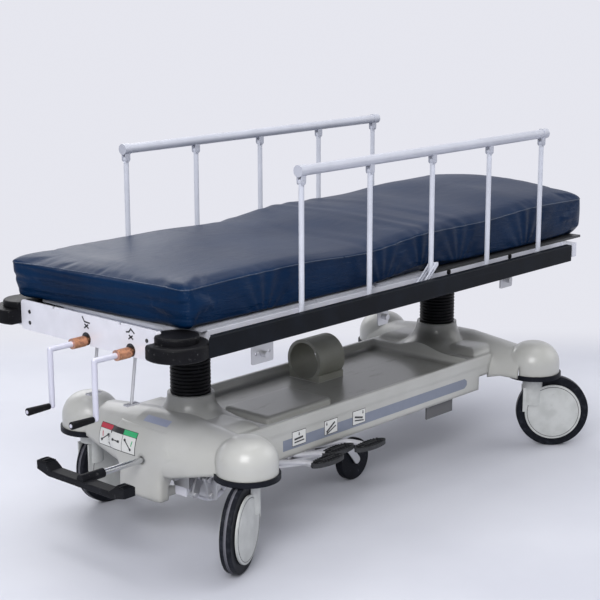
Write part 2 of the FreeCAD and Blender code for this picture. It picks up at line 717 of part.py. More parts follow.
calf = panel("calf body", ("deck_foot", "knee_hinge - 4"),
             eyes("calf", "knee_hinge", ("-225", "195"), "-40") + knee_rods, [])
cap_room = [
    rod("cap room", "Z", "cap_radius + 10", "600", "760", "drum_along", f"{sign} * drum_across")
    for sign in (-1, 1)
]
nodes.append(cut("calf_panel", calf, *cap_room))

# Mattress: firm pieces over the panels and folding zones over the hinges
top = "deck_low + deck_thick + mattress_thick"
floor = "deck_low + deck_thick"
MATTRESS = {
    "mattress_back": ("back_hinge + back_fold_head", "mattress_head"),
    "mattress_fold_back": ("back_hinge - back_fold_foot", "back_hinge + back_fold_head"),
    "mattress_seat": ("thigh_hinge + thigh_fold_head", "back_hinge - back_fold_foot"),
    "mattress_fold_thigh": ("thigh_hinge - thigh_fold_foot", "thigh_hinge + thigh_fold_head"),
    "mattress_thigh": ("knee_hinge", "thigh_hinge - thigh_fold_foot"),
    "mattress_calf": ("mattress_foot", "knee_hinge - 0.3"),
}
for name, ends in MATTRESS.items():
    nodes.append(box(name, ends, ("-mattress_half", "mattress_half"), (floor, top)))

# Cranks: the shaft with its coupling and arm, and the grip that spins on its pin
for name, n in (("back", 0), ("knee", 1)):
    across = f"-crank_spacing * {n}"
    low = "crank_height - crank_throw"
    crank = [
        rod("crank shaft", "X", "crank_rod", "crank_bend", "-672", across, "crank_height"),
        rod("coupling", "X", "coupling_radius", "bar_face - coupling_length", "bar_face - 8", across,
            "crank_height"),
        rod("coupling collar", "X", "coupling_radius - 3", "bar_face - 10", "bar_face + 6", across,
            "crank_height"),
        rod("crank arm", "Z", "crank_rod", low, "crank_height", "crank_bend", across),
        rod("grip pin", "X", "grip_pin", "crank_bend - grip_length - 10", "crank_bend", across, low),
    ]
    for height in ("crank_height", low):
        knob = add("Part::Sphere", "crank bend")
        bind(knob, Radius="crank_rod")
        crank.append(at(knob, "crank_bend", across, height))
    nodes.append(fuse(f"crank_{name}", *crank))
    grip = taper("grip body", "X", "grip_radius", "grip_radius - 2.5",
                 "crank_bend - crank_rod - side_gap - grip_length", "crank_bend - crank_rod - side_gap",
                 across, low)
    grip = rounded("grip edge", grip, 3, lambda m, t: abs(t.x) < 0.5)
    nodes.append(cut(f"crank_grip_{name}", grip,
                     rod("grip hole", "X", "grip_pin + running_gap", "-1400", "-1100", across, low)))

# Siderails: five spindles on pivots, a top tube with clevises, and a latch on each side
rise = "spindle_high - spindle_low"
spindle = cut(
    "spindle",
    fuse(
        "spindle body",
        rod("eye", "Y", "eye_radius", "-eye_half", "eye_half", 0, 0),
        box("eye neck", ("-7", "7"), ("-eye_half", "eye_half"), ("0", "20")),
        rod("tube", "Z", "spindle_radius", "18", f"{rise} - 13", 0, 0),
        box("top neck", ("-6", "6"), ("-5.4", "5.4"), (f"{rise} - 15", rise)),
        rod("top eye", "Y", "8", "-5.4", "5.4", 0, rise),
    ),
    rod("eye hole", "Y", "pin_radius + running_gap", "-20", "20", 0, 0),
    rod("top hole", "Y", "4 + running_gap", "-20", "20", 0, rise),
)
rail_parts = [rod("rail tube", "X", "rail_tube", "rail_foot", "rail_head", 0, "rail_height")]
clevis_tools = []
for n in range(5):
    along = f"spindle_start + {n} * spindle_spacing"
    for low, high in (("-10", "-5.8"), ("5.8", "10")):
        rail_parts.append(box("clevis", (f"{along} - 9", f"{along} + 9"), (low, high),
                              ("spindle_high", "rail_height - 9")))
        rail_parts.append(rod("clevis eye", "Y", "9", low, high, along, "spindle_high"))
    rail_parts.append(rod("clevis pin", "Y", "4", "-11.5", "11.5", along, "spindle_high"))
for low, high in (("rail_foot - 3", "rail_foot + 24"), ("rail_head - 24", "rail_head + 3")):
    rail_parts.append(rod("rail cap", "X", "rail_tube + 2", low, high, 0, "rail_height"))
rail = fuse("rail", *rail_parts)
rail = cut("rail hollow", rail,
           rod("rail bore", "X", "rail_tube - 3", "rail_foot + 5", "rail_head - 5", 0, "rail_height"))

pivots = []
latch_along, latch_height = "spindle_start + 2 * spindle_spacing", "spindle_low + 4"
for sign, side in ((-1, "near"), (1, "far")):
    plane = f"{sign} * rail_across"
    for n in range(5):
        along = f"spindle_start + {n} * spindle_spacing"
        nodes.append(placed(f"spindle_{side}_{n + 1}", spindle, along, plane, "spindle_low"))
        inner_end = f"{sign} * (rail_across - eye_half - side_gap)"
        ends = sorted((f"{sign} * frame_half", inner_end), key=eval_size)
        pivots.append(rod("inner boss", "Y", "13", *ends, along, "spindle_low"))
        outer_end = f"{sign} * (rail_across + eye_half + side_gap)"
        ends = sorted((f"{sign} * strip_inner", outer_end), key=eval_size)
        pivots.append(rod("outer boss", "Y", "13", *ends, along, "spindle_low"))
        ends = sorted((f"{sign} * frame_half", f"{sign} * strip_inner"), key=eval_size)
        pivots.append(rod("pivot pin", "Y", "pin_radius", *ends, along, "spindle_low"))
    nodes.append(placed(f"siderail_{side}", rail, 0, plane, 0))
    for low, high in (("frame_half", "rail_across - 9"), ("rail_across + 9", "strip_inner")):
        ends = sorted((f"{sign} * ({low})", f"{sign} * ({high})"), key=eval_size)
        pivots.append(rod("latch stub", "Y", "pin_radius", *ends, f"{latch_along} - latch_offset", latch_height))
nodes.append(fuse("rail_pivots", *pivots))

reach = eval_size("latch_offset + spindle_radius + pin_radius + 1")
length = math.hypot(reach, values["latch_climb"])
lean = math.degrees(math.atan2(reach, values["latch_climb"]))
for sign, side in ((-1, "near"), (1, "far")):
    bars = []
    for low, high in (("-13.5", "-9.5"), ("9.5", "13.5")):
        bars += [
            box("latch bar", ("-7", "7"), (low, high), ("0", length)),
            rod("latch eye", "Y", "9", low, high, 0, 0),
            rod("latch end", "Y", "7", low, high, 0, length),
        ]
    bars.append(rod("latch pin", "Y", "pin_radius", "-13.5", "13.5", 0, length))
    body = fuse("latch body", *bars)
    hole = rod("latch hole", "Y", "pin_radius + running_gap", "-20", "20", 0, 0)
    slot = box("latch slot", ("-3", "3"), ("-20", "20"), ("22", length - 22))
    latch = group(f"rail_latch_{side}", cut("latch", body, hole, slot))
    latch.Placement = Placement(Vector(), Rotation(Vector(0, 1, 0), lean))
    at(latch, f"{latch_along} - latch_offset", f"{sign} * rail_across", latch_height)
    nodes.append(latch)

# Brackets below the litter on both sides, and the two slanting rods at the foot end
brackets = []
for low, high, drop in ((-706, -620, 578), (-160, -112, 590), (478, 546, 600)):
    for sign in (-1, 1):
        ends = sorted((f"{sign} * frame_half", f"{sign} * (frame_half + 4)"), key=eval_size)
        plate = box("bracket plate", (low, high), ends, (drop, "frame_low + 30"))
        plate = rounded("bracket round", plate, 6, lambda m, t: abs(t.y) > 0.9 and m.z < 640)
        tools = [rod("bracket hole", "Y", "4", "-400", "400", spot, drop + 30)
                 for spot in (low + 16, high - 16)]
        knob_ends = sorted((f"{sign} * (frame_half + 4)", f"{sign} * (frame_half + 22)"), key=eval_size)
        knob = rod("bracket knob", "Y", "9", *knob_ends, (low + high) / 2, drop + 26)
        brackets.append(fuse("bracket", cut("bracket drilled", plate, *tools), knob))
nodes.append(group("side_brackets", *brackets))
hooks = []
for across in ("10", "-150"):
    shank = rod("hook rod", "Z", "4.5", "0", "148.6", 0, 0)
    foot = cut("hook foot", box("hook plate", ("-22", "22"), ("-9", "9"), ("-4", "0")),
               box("hook slot", ("-16", "-6"), ("-4", "4"), ("-6", "2")),
               box("hook slot", ("6", "16"), ("-4", "4"), ("-6", "2")))
    leg = group("hook leg", shank)
    leg.Placement = Placement(Vector(), Rotation(Vector(0, 1, 0), 8))
    hook = placed("hook", group("hook parts", fuse("hook body", leg, foot)), "-971", across, "488")
    hooks.append(hook)
nodes.append(group("foot_hooks", *hooks))

# Brake and steering pedal, steering wheel with its arm, and the pump pedals
pad_x = ("rocker_along - 22", "rocker_along + 22")
lift = "rocker_height"
pedal_line = outline(
    "pedal outline",
    "YZ",
    [("-rocker_half", f"{lift} + 16"), ("-rocker_half", f"{lift} - 10"),
     ("-rocker_half + 50", f"{lift} - 22"), ("rocker_half - 50", f"{lift} - 22"),
     ("rocker_half", f"{lift} - 10"), ("rocker_half", f"{lift} + 16"),
     ("rocker_half - 42", f"{lift} + 14"), ("rocker_half - 66", f"{lift} - 2"),
     ("66 - rocker_half", f"{lift} - 2"), ("42 - rocker_half", f"{lift} + 14")],
)
bar = extruded("pedal bar", pedal_line, (1, 0, 0), "44")
at(bar, "rocker_along - 22", 0, 0)
bar = rounded("pedal edges", bar, 4, lambda m, t: abs(t.x) < 0.5 and abs(m.x + 1021) > 20)
ribs = []
for sign in (-1, 1):
    for n in range(5):
        spot = f"{sign} * (rocker_half - 6 - {n * 8})"
        ribs.append(box("pedal rib", ("rocker_along - 18", "rocker_along + 18"),
                        (f"{spot} - 2", f"{spot} + 2"), (f"{lift} + 10", f"{lift} + 18")))
boss = rod("pedal boss", "X", "14", "rocker_along - 18", "rocker_along + 66", 0, lift)
pin = rod("pedal pin", "X", "shaft_radius", "rocker_along + 20", "-690", 0, lift)
hole = rod("pedal socket", "X", "shaft_radius", "rocker_along + 20", "rocker_along + 90", 0, lift)
nodes.append(cut("brake_pedal", fuse("pedal body", bar, boss, *ribs), hole))
pin.Label = "brake_pedal_shaft"
nodes.append(pin)

fall = "steer_pivot - steer_radius"
arm_long = f"sqrt(steer_reach ^ 2 + ({fall}) ^ 2)"
plates = []
for low, high in (("steer_across - 24", "steer_across - 19"), ("steer_across + 19", "steer_across + 24")):
    plates.append(box("arm plate", ("-14", arm_long), (low, high), ("-13", "13")))
    plates.append(rod("arm end", "Y", "13", low, high, arm_long, 0))
plates.append(rod("arm tube", "Y", "14", "steer_across - 24", "steer_across + 24", 0, 0))
plates.append(rod("arm axle", "Y", "axle_radius", "steer_across - 24", "steer_across + 24", arm_long, 0))
arm_body = cut("arm drilled", fuse("arm body", *plates),
               rod("arm hole", "Y", "axle_radius + running_gap", "-200", "0", 0, 0))
arm = group("steering_arm", arm_body)
arm.Placement = Placement(Vector(), Rotation(Vector(0, 1, 0), 50))
bind(arm, Placement__Rotation__Angle=f"atan(({fall}) / steer_reach)")
nodes.append(at(arm, "steer_along - steer_reach", 0, "steer_pivot"))
spot = ("steer_along", "steer_radius")
tyre = rounded("steer tread", rod("steer tyre", "Y", "steer_radius", "steer_across - 14", "steer_across + 14",
                                  *spot), 6, lambda m, t: abs(t.y) < 0.5)
hub = rod("steer hub", "Y", "18", "steer_across - 18.6", "steer_across + 18.6", *spot)
nodes.append(cut("steering_wheel", fuse("steer body", tyre, hub),
                 rod("steer hole", "Y", "axle_radius + running_gap", "-200", "0", *spot)))

ARMS = {
    "foot": [("-9", "-214"), ("40", "-236"), ("92", "-262"), ("104", "-300"),
             ("122", "-300"), ("112", "-250"), ("50", "-216"), ("9", "-203")],
    "middle": [("-9", "-214"), ("40", "-232"), ("92", "-240"), ("104", "-258"),
               ("122", "-258"), ("112", "-232"), ("50", "-216"), ("9", "-203")],
    "head": [("-9", "-212"), ("128", "-224"), ("146", "-250"), ("150", "-300"),
             ("172", "-300"), ("164", "-240"), ("140", "-206"), ("9", "-192")],
}
for name, (along, across) in PUMPS.items():
    arm_line = outline(f"pump outline {name}", "XY", [("-9", "-190"), *ARMS[name], ("9", "-190")])
    arm = extruded("pump arm", arm_line, (0, 0, 1), "8")
    at(arm, 0, 0, "pump_shaft - 42")
    body = [
        arm,
        box("pump web", ("-9", "9"), ("-212", "-190"), ("pump_shaft - 42", "pump_shaft")),
        rod("pump hub", "Y", "14", "-212", "-190", 0, "pump_shaft"),
    ]
    leaf = add("Part::Ellipse", "pump leaf")
    bind(leaf, MajorRadius="70", MinorRadius="24")
    at(leaf, "pump_reach", f"-300 + {across}", "pump_shaft - 44")
    face = add("Part::Face", "pump face")
    face.Sources = [leaf]
    pad = extruded("pump pad", face, (0, 0, 1), "13")
    ribs = []
    for n in range(9):
        spot = f"pump_reach - 48 + {n * 12}"
        half = 21 * math.sqrt(max(0.05, 1 - ((n * 12 - 48) / 70) ** 2))
        ribs.append(box("pump rib", (f"{spot} - 2.5", f"{spot} + 2.5"),
                        (f"-300 + {across} - {half:.1f}", f"-300 + {across} + {half:.1f}"),
                        ("pump_shaft - 33", "pump_shaft - 28")))
    whole = cut("pump pedal", fuse("pump body", *body, pad, *ribs),
                rod("pump hole", "Y", "axle_radius + running_gap", "-300", "-100", 0, "pump_shaft"))
    nodes.append(placed(f"pump_pedal_{name}", whole, along, 0, 0))

# Move every piece so that the origin is under the middle of the whole length
middle = "(mattress_head + crank_bend - grip_length - 10) / 2"
pieces = []
for node in nodes:
    name = node.Label
    node.Label = name + " as drawn"
    pieces.append(at(group(name, node), f"-({middle})", 0, 0))

# Check every piece and write one file for each
doc.recompute()
for item in doc.Objects:
    if "Invalid" in item.State or "Error" in item.State:
        raise RuntimeError(f"{item.Label} did not compute")
os.makedirs("parts", exist_ok=True)
for old in os.listdir("parts"):
    os.remove(os.path.join("parts", old))
for node in pieces:
    if node.Shape.isNull() or not node.Shape.isValid() or not node.Shape.Solids:
        raise RuntimeError(f"{node.Label} has no valid solid")
    node.Shape.exportStep(f"parts/{node.Label}.step")
    box_now = node.Shape.optimalBoundingBox(False)
    print(f"{node.Label:24s} {len(node.Shape.Solids)} {node.Shape.Volume / 1000:9.1f} cm3", end=" ")
    corners = (box_now.XMin, box_now.XMax, box_now.YMin, box_now.YMax, box_now.ZMin, box_now.ZMax)
    print([round(v) for v in corners])
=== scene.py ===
# %% [markdown]
# Patient transport stretcher. The rigid pieces come ready made as a fixed frame, in metres, with
# the origin on the floor under the middle of the whole length. This lesson dresses them: it gives
# every surface a finish, and makes the pieces that are soft, round or printed, such as the
# mattress, the bellows, the wheels and the little picture signs.

# %% Load the frame
import json
import math

import bmesh
import bpy
import numpy as np
from mathutils import Matrix, Vector
from mathutils.bvhtree import BVHTree

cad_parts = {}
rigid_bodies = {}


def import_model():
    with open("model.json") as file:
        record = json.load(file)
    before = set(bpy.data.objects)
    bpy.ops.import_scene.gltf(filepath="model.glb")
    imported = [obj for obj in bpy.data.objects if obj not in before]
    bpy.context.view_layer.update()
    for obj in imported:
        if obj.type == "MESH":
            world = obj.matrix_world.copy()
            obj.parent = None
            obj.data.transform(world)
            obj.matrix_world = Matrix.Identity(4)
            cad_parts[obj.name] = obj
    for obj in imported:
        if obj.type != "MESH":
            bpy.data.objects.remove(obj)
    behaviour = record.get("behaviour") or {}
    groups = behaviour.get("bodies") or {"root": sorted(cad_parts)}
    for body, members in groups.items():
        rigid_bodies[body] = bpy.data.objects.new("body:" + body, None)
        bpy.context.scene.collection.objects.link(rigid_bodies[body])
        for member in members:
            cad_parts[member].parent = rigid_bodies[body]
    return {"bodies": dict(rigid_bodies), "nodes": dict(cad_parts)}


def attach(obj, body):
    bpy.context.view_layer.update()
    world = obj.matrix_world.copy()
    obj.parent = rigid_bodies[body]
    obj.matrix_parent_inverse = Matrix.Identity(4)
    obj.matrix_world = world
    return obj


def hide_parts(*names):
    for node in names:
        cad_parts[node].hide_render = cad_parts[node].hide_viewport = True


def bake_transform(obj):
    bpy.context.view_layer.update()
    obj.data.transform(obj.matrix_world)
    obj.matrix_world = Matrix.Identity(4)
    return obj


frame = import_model()
nodes, bodies = frame["nodes"], frame["bodies"]
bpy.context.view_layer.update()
MIDDLE = 0.1145  # the middle between the casters, along X
FOOT_JACK, HEAD_JACK = -608, 599  # the two jacks, in mm along from that middle
BAR_FACE = -998  # the outer face of the foot bar
SKIRT_FACE = -226  # the near side of the hood
HINGES = 698  # the height of the deck hinges
PUMPS = {"foot": -498, "middle": -403, "head": -298}  # the shafts of the pump pedals
CRANKS = {"back": 0, "knee": -184}  # the crank shafts, across


def station(x):
    """A distance in mm along from the middle between the casters, as metres along X in the frame."""
    return x / 1000 + MIDDLE


def mm(x, y, z):
    """A point in mm, measured along from the middle between the casters, as metres in the frame."""
    return np.array([station(x), y / 1000, z / 1000])


def placed(name, data):
    """A new object in the scene that shows a mesh, a lamp or a camera."""
    item = bpy.data.objects.new(name, data)
    bpy.context.scene.collection.objects.link(item)
    return item


# %% [markdown]
# The camera stands where the photographer stood: low, far off and with a long lens, looking at the
# foot end and the pump pedal side. Its direction is worked out from two angles and a very small roll,
# so the turn of the camera is a plain rotation matrix whose columns are right, up and backwards.

# %% Camera
yaw, pitch, roll = (math.radians(a) for a in (42.365, -12.846, -0.127))
ahead = Vector((math.cos(yaw) * math.cos(pitch), math.sin(yaw) * math.cos(pitch), math.sin(pitch)))
right = Vector((math.sin(yaw), -math.cos(yaw), 0))
upward = right.cross(ahead)
right, upward = (
    right * math.cos(roll) + upward * math.sin(roll),
    upward * math.cos(roll) - right * math.sin(roll),
)
camera = placed("camera", bpy.data.cameras.new("camera"))
FOCAL, WIDTH = 1493.42, 600  # the focal length and the width of the picture, in pixels
camera.data.sensor_width = 36
camera.data.lens = FOCAL / WIDTH * 36
camera.data.shift_x = -0.0012
camera.data.clip_end = 60
camera.matrix_world = Matrix.Translation(Vector(mm(-3550, -3128, 1669))) @ Matrix(
    (right, upward, -ahead)
).transposed().to_4x4()
bpy.context.scene.camera = camera
print("lens", round(camera.data.lens, 1), "mm")

# %% [markdown]
# Shader maths reads best as plain sums. The class below wraps the output of a node, so that
# `1 - mask * 0.5` adds the Math nodes by itself. Every other node comes from one method that takes
# the node's type, its settings and then the values or links of its sockets.


# %% Shader maths
class Wire:
    """The output of a node, with + - * / and abs that add Math nodes."""

    def __init__(self, finish, socket):
        self.finish, self.socket = finish, socket

    def maths(self, operation, a, b=None):
        values = (a,) if b is None else (a, b)
        return self.finish.node("ShaderNodeMath", {"operation": operation}, *values)

    def __add__(self, other):
        return self.maths("ADD", self, other)

    def __sub__(self, other):
        return self.maths("SUBTRACT", self, other)

    def __rsub__(self, other):
        return self.maths("SUBTRACT", other, self)

    def __mul__(self, other):
        return self.maths("MULTIPLY", self, other)

    def __truediv__(self, other):
        return self.maths("DIVIDE", self, other)

    def __abs__(self):
        return self.maths("ABSOLUTE", self)

    __radd__, __rmul__ = __add__, __mul__

    def ramp(self, low, high, start=0.0, end=1.0):
        """Rises smoothly from start at low to end at high."""
        settings = {"interpolation_type": "SMOOTHSTEP"}
        return self.finish.node("ShaderNodeMapRange", settings, self, low, high, start, end)


class Finish:
    """A named material around one Principled shader."""

    def __init__(self, name, color, rough=0.5, metal=0.0, coat=0.0, specular=0.5):
        self.material = bpy.data.materials.new(name)
        self.material.use_nodes = True
        self.tree = self.material.node_tree
        self.shader = self.tree.nodes["Principled BSDF"]
        for socket, value in (
            ("Base Color", (*color, 1)), ("Roughness", rough), ("Metallic", metal), ("Coat Weight", coat),
            ("Coat Roughness", 0.15), ("Specular IOR Level", specular),
        ):
            self.shader.inputs[socket].default_value = value
        self.place = self.node("ShaderNodeTexCoord", {}, out="Object")
        axes = self.node("ShaderNodeSeparateXYZ", {}, self.place, out=None)
        self.x, self.y, self.z = (Wire(self, axes.outputs[i]) for i in range(3))
        facing = self.node("ShaderNodeNewGeometry", {}, out="Normal")
        self.nz = self.node("ShaderNodeSeparateXYZ", {}, facing, out="Z")

    def node(self, kind, settings, *values, out=0, **named):
        """Adds a node: settings first, then socket values or links in order, or by name."""
        made = self.tree.nodes.new(kind)
        for key, value in settings.items():
            setattr(made, key, value)
        pairs = list(zip(made.inputs, values)) + [(made.inputs[k], v) for k, v in named.items()]
        for socket, value in pairs:
            if isinstance(value, Wire):
                self.tree.links.new(value.socket, socket)
            elif value is not None:
                socket.default_value = value
        return made if out is None else Wire(self, made.outputs[out])

    def stretch(self, x=1.0, y=1.0, z=1.0):
        """Object coordinates, stretched along each axis."""
        return self.node("ShaderNodeMapping", {}, self.place, Scale=(x, y, z))

    def noise(self, scale, detail=3.0, rough=0.5, place=None, distortion=0.0):
        return self.node("ShaderNodeTexNoise", {}, Vector=place or self.place, Scale=scale, Detail=detail,
                         Roughness=rough, Distortion=distortion)

    def mix(self, mask, first, second):
        """One colour into another as the mask goes from 0 to 1."""
        made = self.tree.nodes.new("ShaderNodeMix")
        made.data_type = "RGBA"
        for socket, value in ((made.inputs[0], mask), (made.inputs[6], first), (made.inputs[7], second)):
            if isinstance(value, Wire):
                self.tree.links.new(value.socket, socket)
            else:
                socket.default_value = value if isinstance(value, float) else (*value, 1)
        return Wire(self, made.outputs[2])

    def set(self, socket, wire):
        self.tree.links.new(wire.socket, self.shader.inputs[socket])

    def bump(self, height, distance, strength=1.0, soften=0.0):
        """Height in 0 to 1 raises the surface by up to the distance in metres. Edges and joints closer
        than the soften radius shade as if they were moulded round."""
        edge = self.node("ShaderNodeBevel", {"samples": 6}, soften) if soften else None
        self.set("Normal", self.node("ShaderNodeBump", {}, Height=height, Distance=distance,
                                     Strength=strength, Normal=edge, out="Normal"))


def toned(color, factor):
    """A colour made darker or lighter."""
    return tuple(min(1.0, c * factor) for c in color)


print("shader maths ready")

# %% [markdown]
# The room is a pale floor that curves up into a wall far behind, as in a photo studio. Beyond the
# stretcher it turns into an even glow, so that no horizon shows. Large soft lamps light it at a
# plain level, so that a colour renders about as it is written.

# %% Floor and light
steps = np.linspace(0, math.pi / 2, 24)
run = np.concatenate([[-9.0, 2.0], 5.0 + 3 * np.sin(steps), [8.0]])
climb = np.concatenate([[0.0, 0.0], 3 - 3 * np.cos(steps), [9.0]])
wide = np.array([-14.0, 14.0])
away = np.array([math.cos(yaw), math.sin(yaw)])
aside = np.array([math.sin(yaw), -math.cos(yaw)])
points = [(*(away * r + aside * w), c) for r, c in zip(run, climb) for w in wide]
faces = [(2 * i, 2 * i + 1, 2 * i + 3, 2 * i + 2) for i in range(len(run) - 1)]
room = bpy.data.meshes.new("room")
room.from_pydata(points, [], faces)
room_object = placed("room", room)
room.shade_smooth()
paper = Finish("paper floor", (0.56, 0.57, 0.64), rough=0.65)
cloud = paper.noise(1.1, 4)
speck = paper.noise(60, 2).ramp(0.62, 0.75)
paper.set("Base Color", paper.mix(cloud.ramp(0.3, 0.7), (0.56, 0.57, 0.635), (0.63, 0.64, 0.70)))
paper.set("Roughness", 0.6 + speck * 0.1)
shown = paper.node("ShaderNodeEmission", {}, (0.79, 0.795, 0.86, 1), 1.0)
beyond = paper.x * float(away[0]) + paper.y * float(away[1])
paths = paper.node("ShaderNodeLightPath", {}, out=None)
seen = sum(Wire(paper, paths.outputs[f"Is {ray} Ray"]) for ray in ("Camera", "Glossy", "Transmission"))
blend = paper.node("ShaderNodeMixShader", {}, beyond.ramp(1.45, 2.1) * seen,
                   Wire(paper, paper.shader.outputs[0]), shown)
paper.tree.links.new(blend.socket, paper.tree.nodes["Material Output"].inputs["Surface"])
room.materials.append(paper.material)

world = bpy.data.worlds.new("studio")
bpy.context.scene.world = world
world.use_nodes = True
world.node_tree.nodes["Background"].inputs["Color"].default_value = (0.93, 0.95, 1.0, 1)
world.node_tree.nodes["Background"].inputs["Strength"].default_value = 0.48


def lamp(name, place, aim, size, power):
    """A square soft lamp at a place, turned towards a point."""
    data = bpy.data.lights.new(name, "AREA")
    data.size, data.energy = size, power
    item = placed(name, data)
    item.location = place
    item.rotation_euler = (Vector(aim) - Vector(place)).to_track_quat("-Z", "Y").to_euler()


lamp("key", (-3.7, -2.3, 3.2), (0.1, 0, 0.5), 2.4, 158)
lamp("fill", (3.6, -2.6, 2.6), (0, 0, 0.5), 3.0, 40)
lamp("top", (0.2, 0.4, 4.4), (0.1, 0, 0.4), 3.2, 110)
lamp("back", (1.5, 4.2, 3.0), (0, 0, 0.6), 3.0, 60)
scene = bpy.context.scene
scene.view_settings.view_transform = "Standard"
print("floor, world and four lamps")

# %% [markdown]
# The base hood is a thick grey-white moulding, glossy on its rounded domes and duller where feet
# and bags have rubbed it. The colour drifts a little from place to place, fine pores break up the
# gloss, and dust gathers low down. The tray and the collars round the jacks are darkened with
# painted shade, for the shadow that the mattress casts on them.

# %% Moulded hood
hood_paint = Finish("moulded hood", (0.47, 0.47, 0.45), rough=0.35, coat=0.35)
drift = hood_paint.noise(3.0, 4)
rub = hood_paint.noise(26, 5, 0.65, hood_paint.stretch(0.3, 1, 2)).ramp(0.58, 0.78)
low = hood_paint.z.ramp(0.34, 0.12)
tone = hood_paint.mix(drift.ramp(0.35, 0.65), (0.45, 0.45, 0.425), (0.52, 0.52, 0.50))
tone = hood_paint.mix(rub * 0.35, tone, (0.44, 0.43, 0.40))
# Painted shade: the tray and the collars round the jacks are mixed towards near black, for the shadow under
# the mattress.
inside = abs(hood_paint.y).ramp(0.235, 0.20) * abs(hood_paint.x - MIDDLE).ramp(0.66, 0.50)
around = hood_paint.z.ramp(0.33, 0.39) * abs(hood_paint.y).ramp(0.17, 0.10)
grime_and_painted_shade = inside * hood_paint.nz.ramp(-0.2, 0.8) * 0.72 + around * 0.6
tone = hood_paint.mix(grime_and_painted_shade, tone, (0.10, 0.10, 0.09))
hood_paint.set("Base Color", hood_paint.mix(low * 0.35, tone, (0.40, 0.39, 0.35)))
hood_paint.set("Roughness", 0.30 + drift * 0.12 + rub * 0.25)
hood_paint.bump(hood_paint.noise(700, 2) * 0.6 + drift * 0.4, 0.0006, 0.5, soften=0.016)

tunnel_paint = Finish("moulded tunnel", (0.28, 0.28, 0.24), rough=0.5)
drift = tunnel_paint.noise(9, 4)
tunnel_paint.set("Base Color", tunnel_paint.mix(drift.ramp(0.3, 0.7), (0.25, 0.25, 0.21), (0.31, 0.31, 0.27)))
tunnel_paint.set("Roughness", 0.42 + drift * 0.2)
tunnel_paint.bump(tunnel_paint.noise(900, 2), 0.0004, 0.4)
print("hood and tunnel finishes")

# %% [markdown]
# The litter frame and the foot bar are steel with a lilac-white baked enamel. Enamel is smooth but
# never perfect: a faint ripple, small scratches that run along the tubes, and dust on what faces up.
# Small fittings are zinc plated or bright steel, with a fine grain and dull stains.


# %% Enamel, plated steel and zinc
def enamel(name, color, rough=0.32, dusty=0.25):
    """Baked enamel: a ripple varies its tone, and scratches and dust are mixed in by their own noise."""
    made = Finish(name, color, rough=rough, coat=0.25)
    ripple = made.noise(14, 3)
    scratch = made.noise(55, 4, 0.7, made.stretch(0.06, 1, 1.6)).ramp(0.66, 0.74)
    dust = made.nz.ramp(0.6, 1.0) * made.noise(8, 3) * dusty
    tone = made.mix(ripple.ramp(0.3, 0.7), toned(color, 0.95), toned(color, 1.04))
    tone = made.mix(scratch * 0.45, tone, toned(color, 0.55))
    made.set("Base Color", made.mix(dust, tone, (0.45, 0.44, 0.42)))
    made.set("Roughness", rough + ripple * 0.1 + scratch * 0.25)
    made.bump(ripple * 0.7 - scratch * 0.5, 0.0004, 0.5)
    return made


def plated(name, color, rough, grain, worn=(0.30, 0.28, 0.27)):
    """Bright metal with a fine drawn grain that is long along the axis with the small number."""
    made = Finish(name, color, rough=rough, metal=1.0)
    lines = made.noise(420, 2, 0.5, made.stretch(*grain))
    haze = made.noise(11, 4)
    stain = made.noise(70, 4, 0.7).ramp(0.66, 0.78)
    tone = made.mix(haze.ramp(0.3, 0.7), toned(color, 0.92), color)
    made.set("Base Color", made.mix(stain * 0.5, tone, worn))
    made.set("Roughness", rough + lines * 0.10 + haze * 0.08 + stain * 0.2)
    made.bump(lines, 0.0002, 0.35)
    return made


frame_paint = enamel("white enamel", (0.66, 0.67, 0.74))
bar_paint = enamel("white enamel sheet", (0.70, 0.70, 0.765), 0.28)
# Painted shade: the back deck board is made near black, for the dark gap under the back of the mattress.
painted_shade_board = enamel("dark deck board", (0.035, 0.036, 0.04), 0.5, 0.05)
pale_panel = enamel("pale deck board", (0.42, 0.43, 0.48), 0.5, 0.1)
chassis_paint = enamel("chassis enamel", (0.10, 0.10, 0.105), 0.5)
upright_steel = enamel("silver enamel spindle", (0.60, 0.62, 0.70), 0.36)
rail_steel = enamel("silver enamel rail", (0.46, 0.475, 0.545), 0.36)
zinc = plated("zinc plate", (0.60, 0.60, 0.62), 0.38, (1.0, 1.0, 1.0), (0.36, 0.35, 0.34))
bright_steel = plated("bright steel", (0.70, 0.71, 0.73), 0.16, (0.05, 1.0, 1.0))
print("enamel and metal finishes")

# %% [markdown]
# The cranks are bright rods, and a turned copper coupling sits on each where it leaves the foot
# bar. Both are one rigid piece, so the finish tells them apart by the distance along the stretcher.

# %% Cranks with copper couplings
crank_finish = Finish("crank rod with copper coupling", (0.62, 0.62, 0.72), rough=0.32, metal=1.0)
haze = crank_finish.noise(30, 4)
coupling = crank_finish.x.ramp(station(-1051.5), station(-1049.5))
coupling = coupling * crank_finish.x.ramp(station(-988.5), station(-989.5))
tarnish = crank_finish.noise(90, 4, 0.7).ramp(0.45, 0.75)
copper = crank_finish.mix(tarnish, (0.62, 0.30, 0.17), (0.22, 0.12, 0.09))
worn = crank_finish.mix(haze, (0.58, 0.58, 0.68), (0.64, 0.64, 0.74))
crank_finish.set("Base Color", crank_finish.mix(coupling, worn, copper))
crank_finish.set("Metallic", 0.15 + coupling * 0.85)
crank_finish.set("Roughness", 0.28 + haze * 0.12 + tarnish * coupling * 0.3)
crank_finish.bump(haze * 0.4 + crank_finish.noise(400, 2) * 0.3, 0.0003, 0.4)
print("crank finish")

# %% [markdown]
# Rubber shows its age: the bumpers are scuffed pale where doors have hit them, the strips are dull
# charcoal with long rub marks, and the tyres hold dust. One function makes them all, each with its
# own colour, amount of scuffing and colour of dust. The discs of the wheels are a pale plastic.


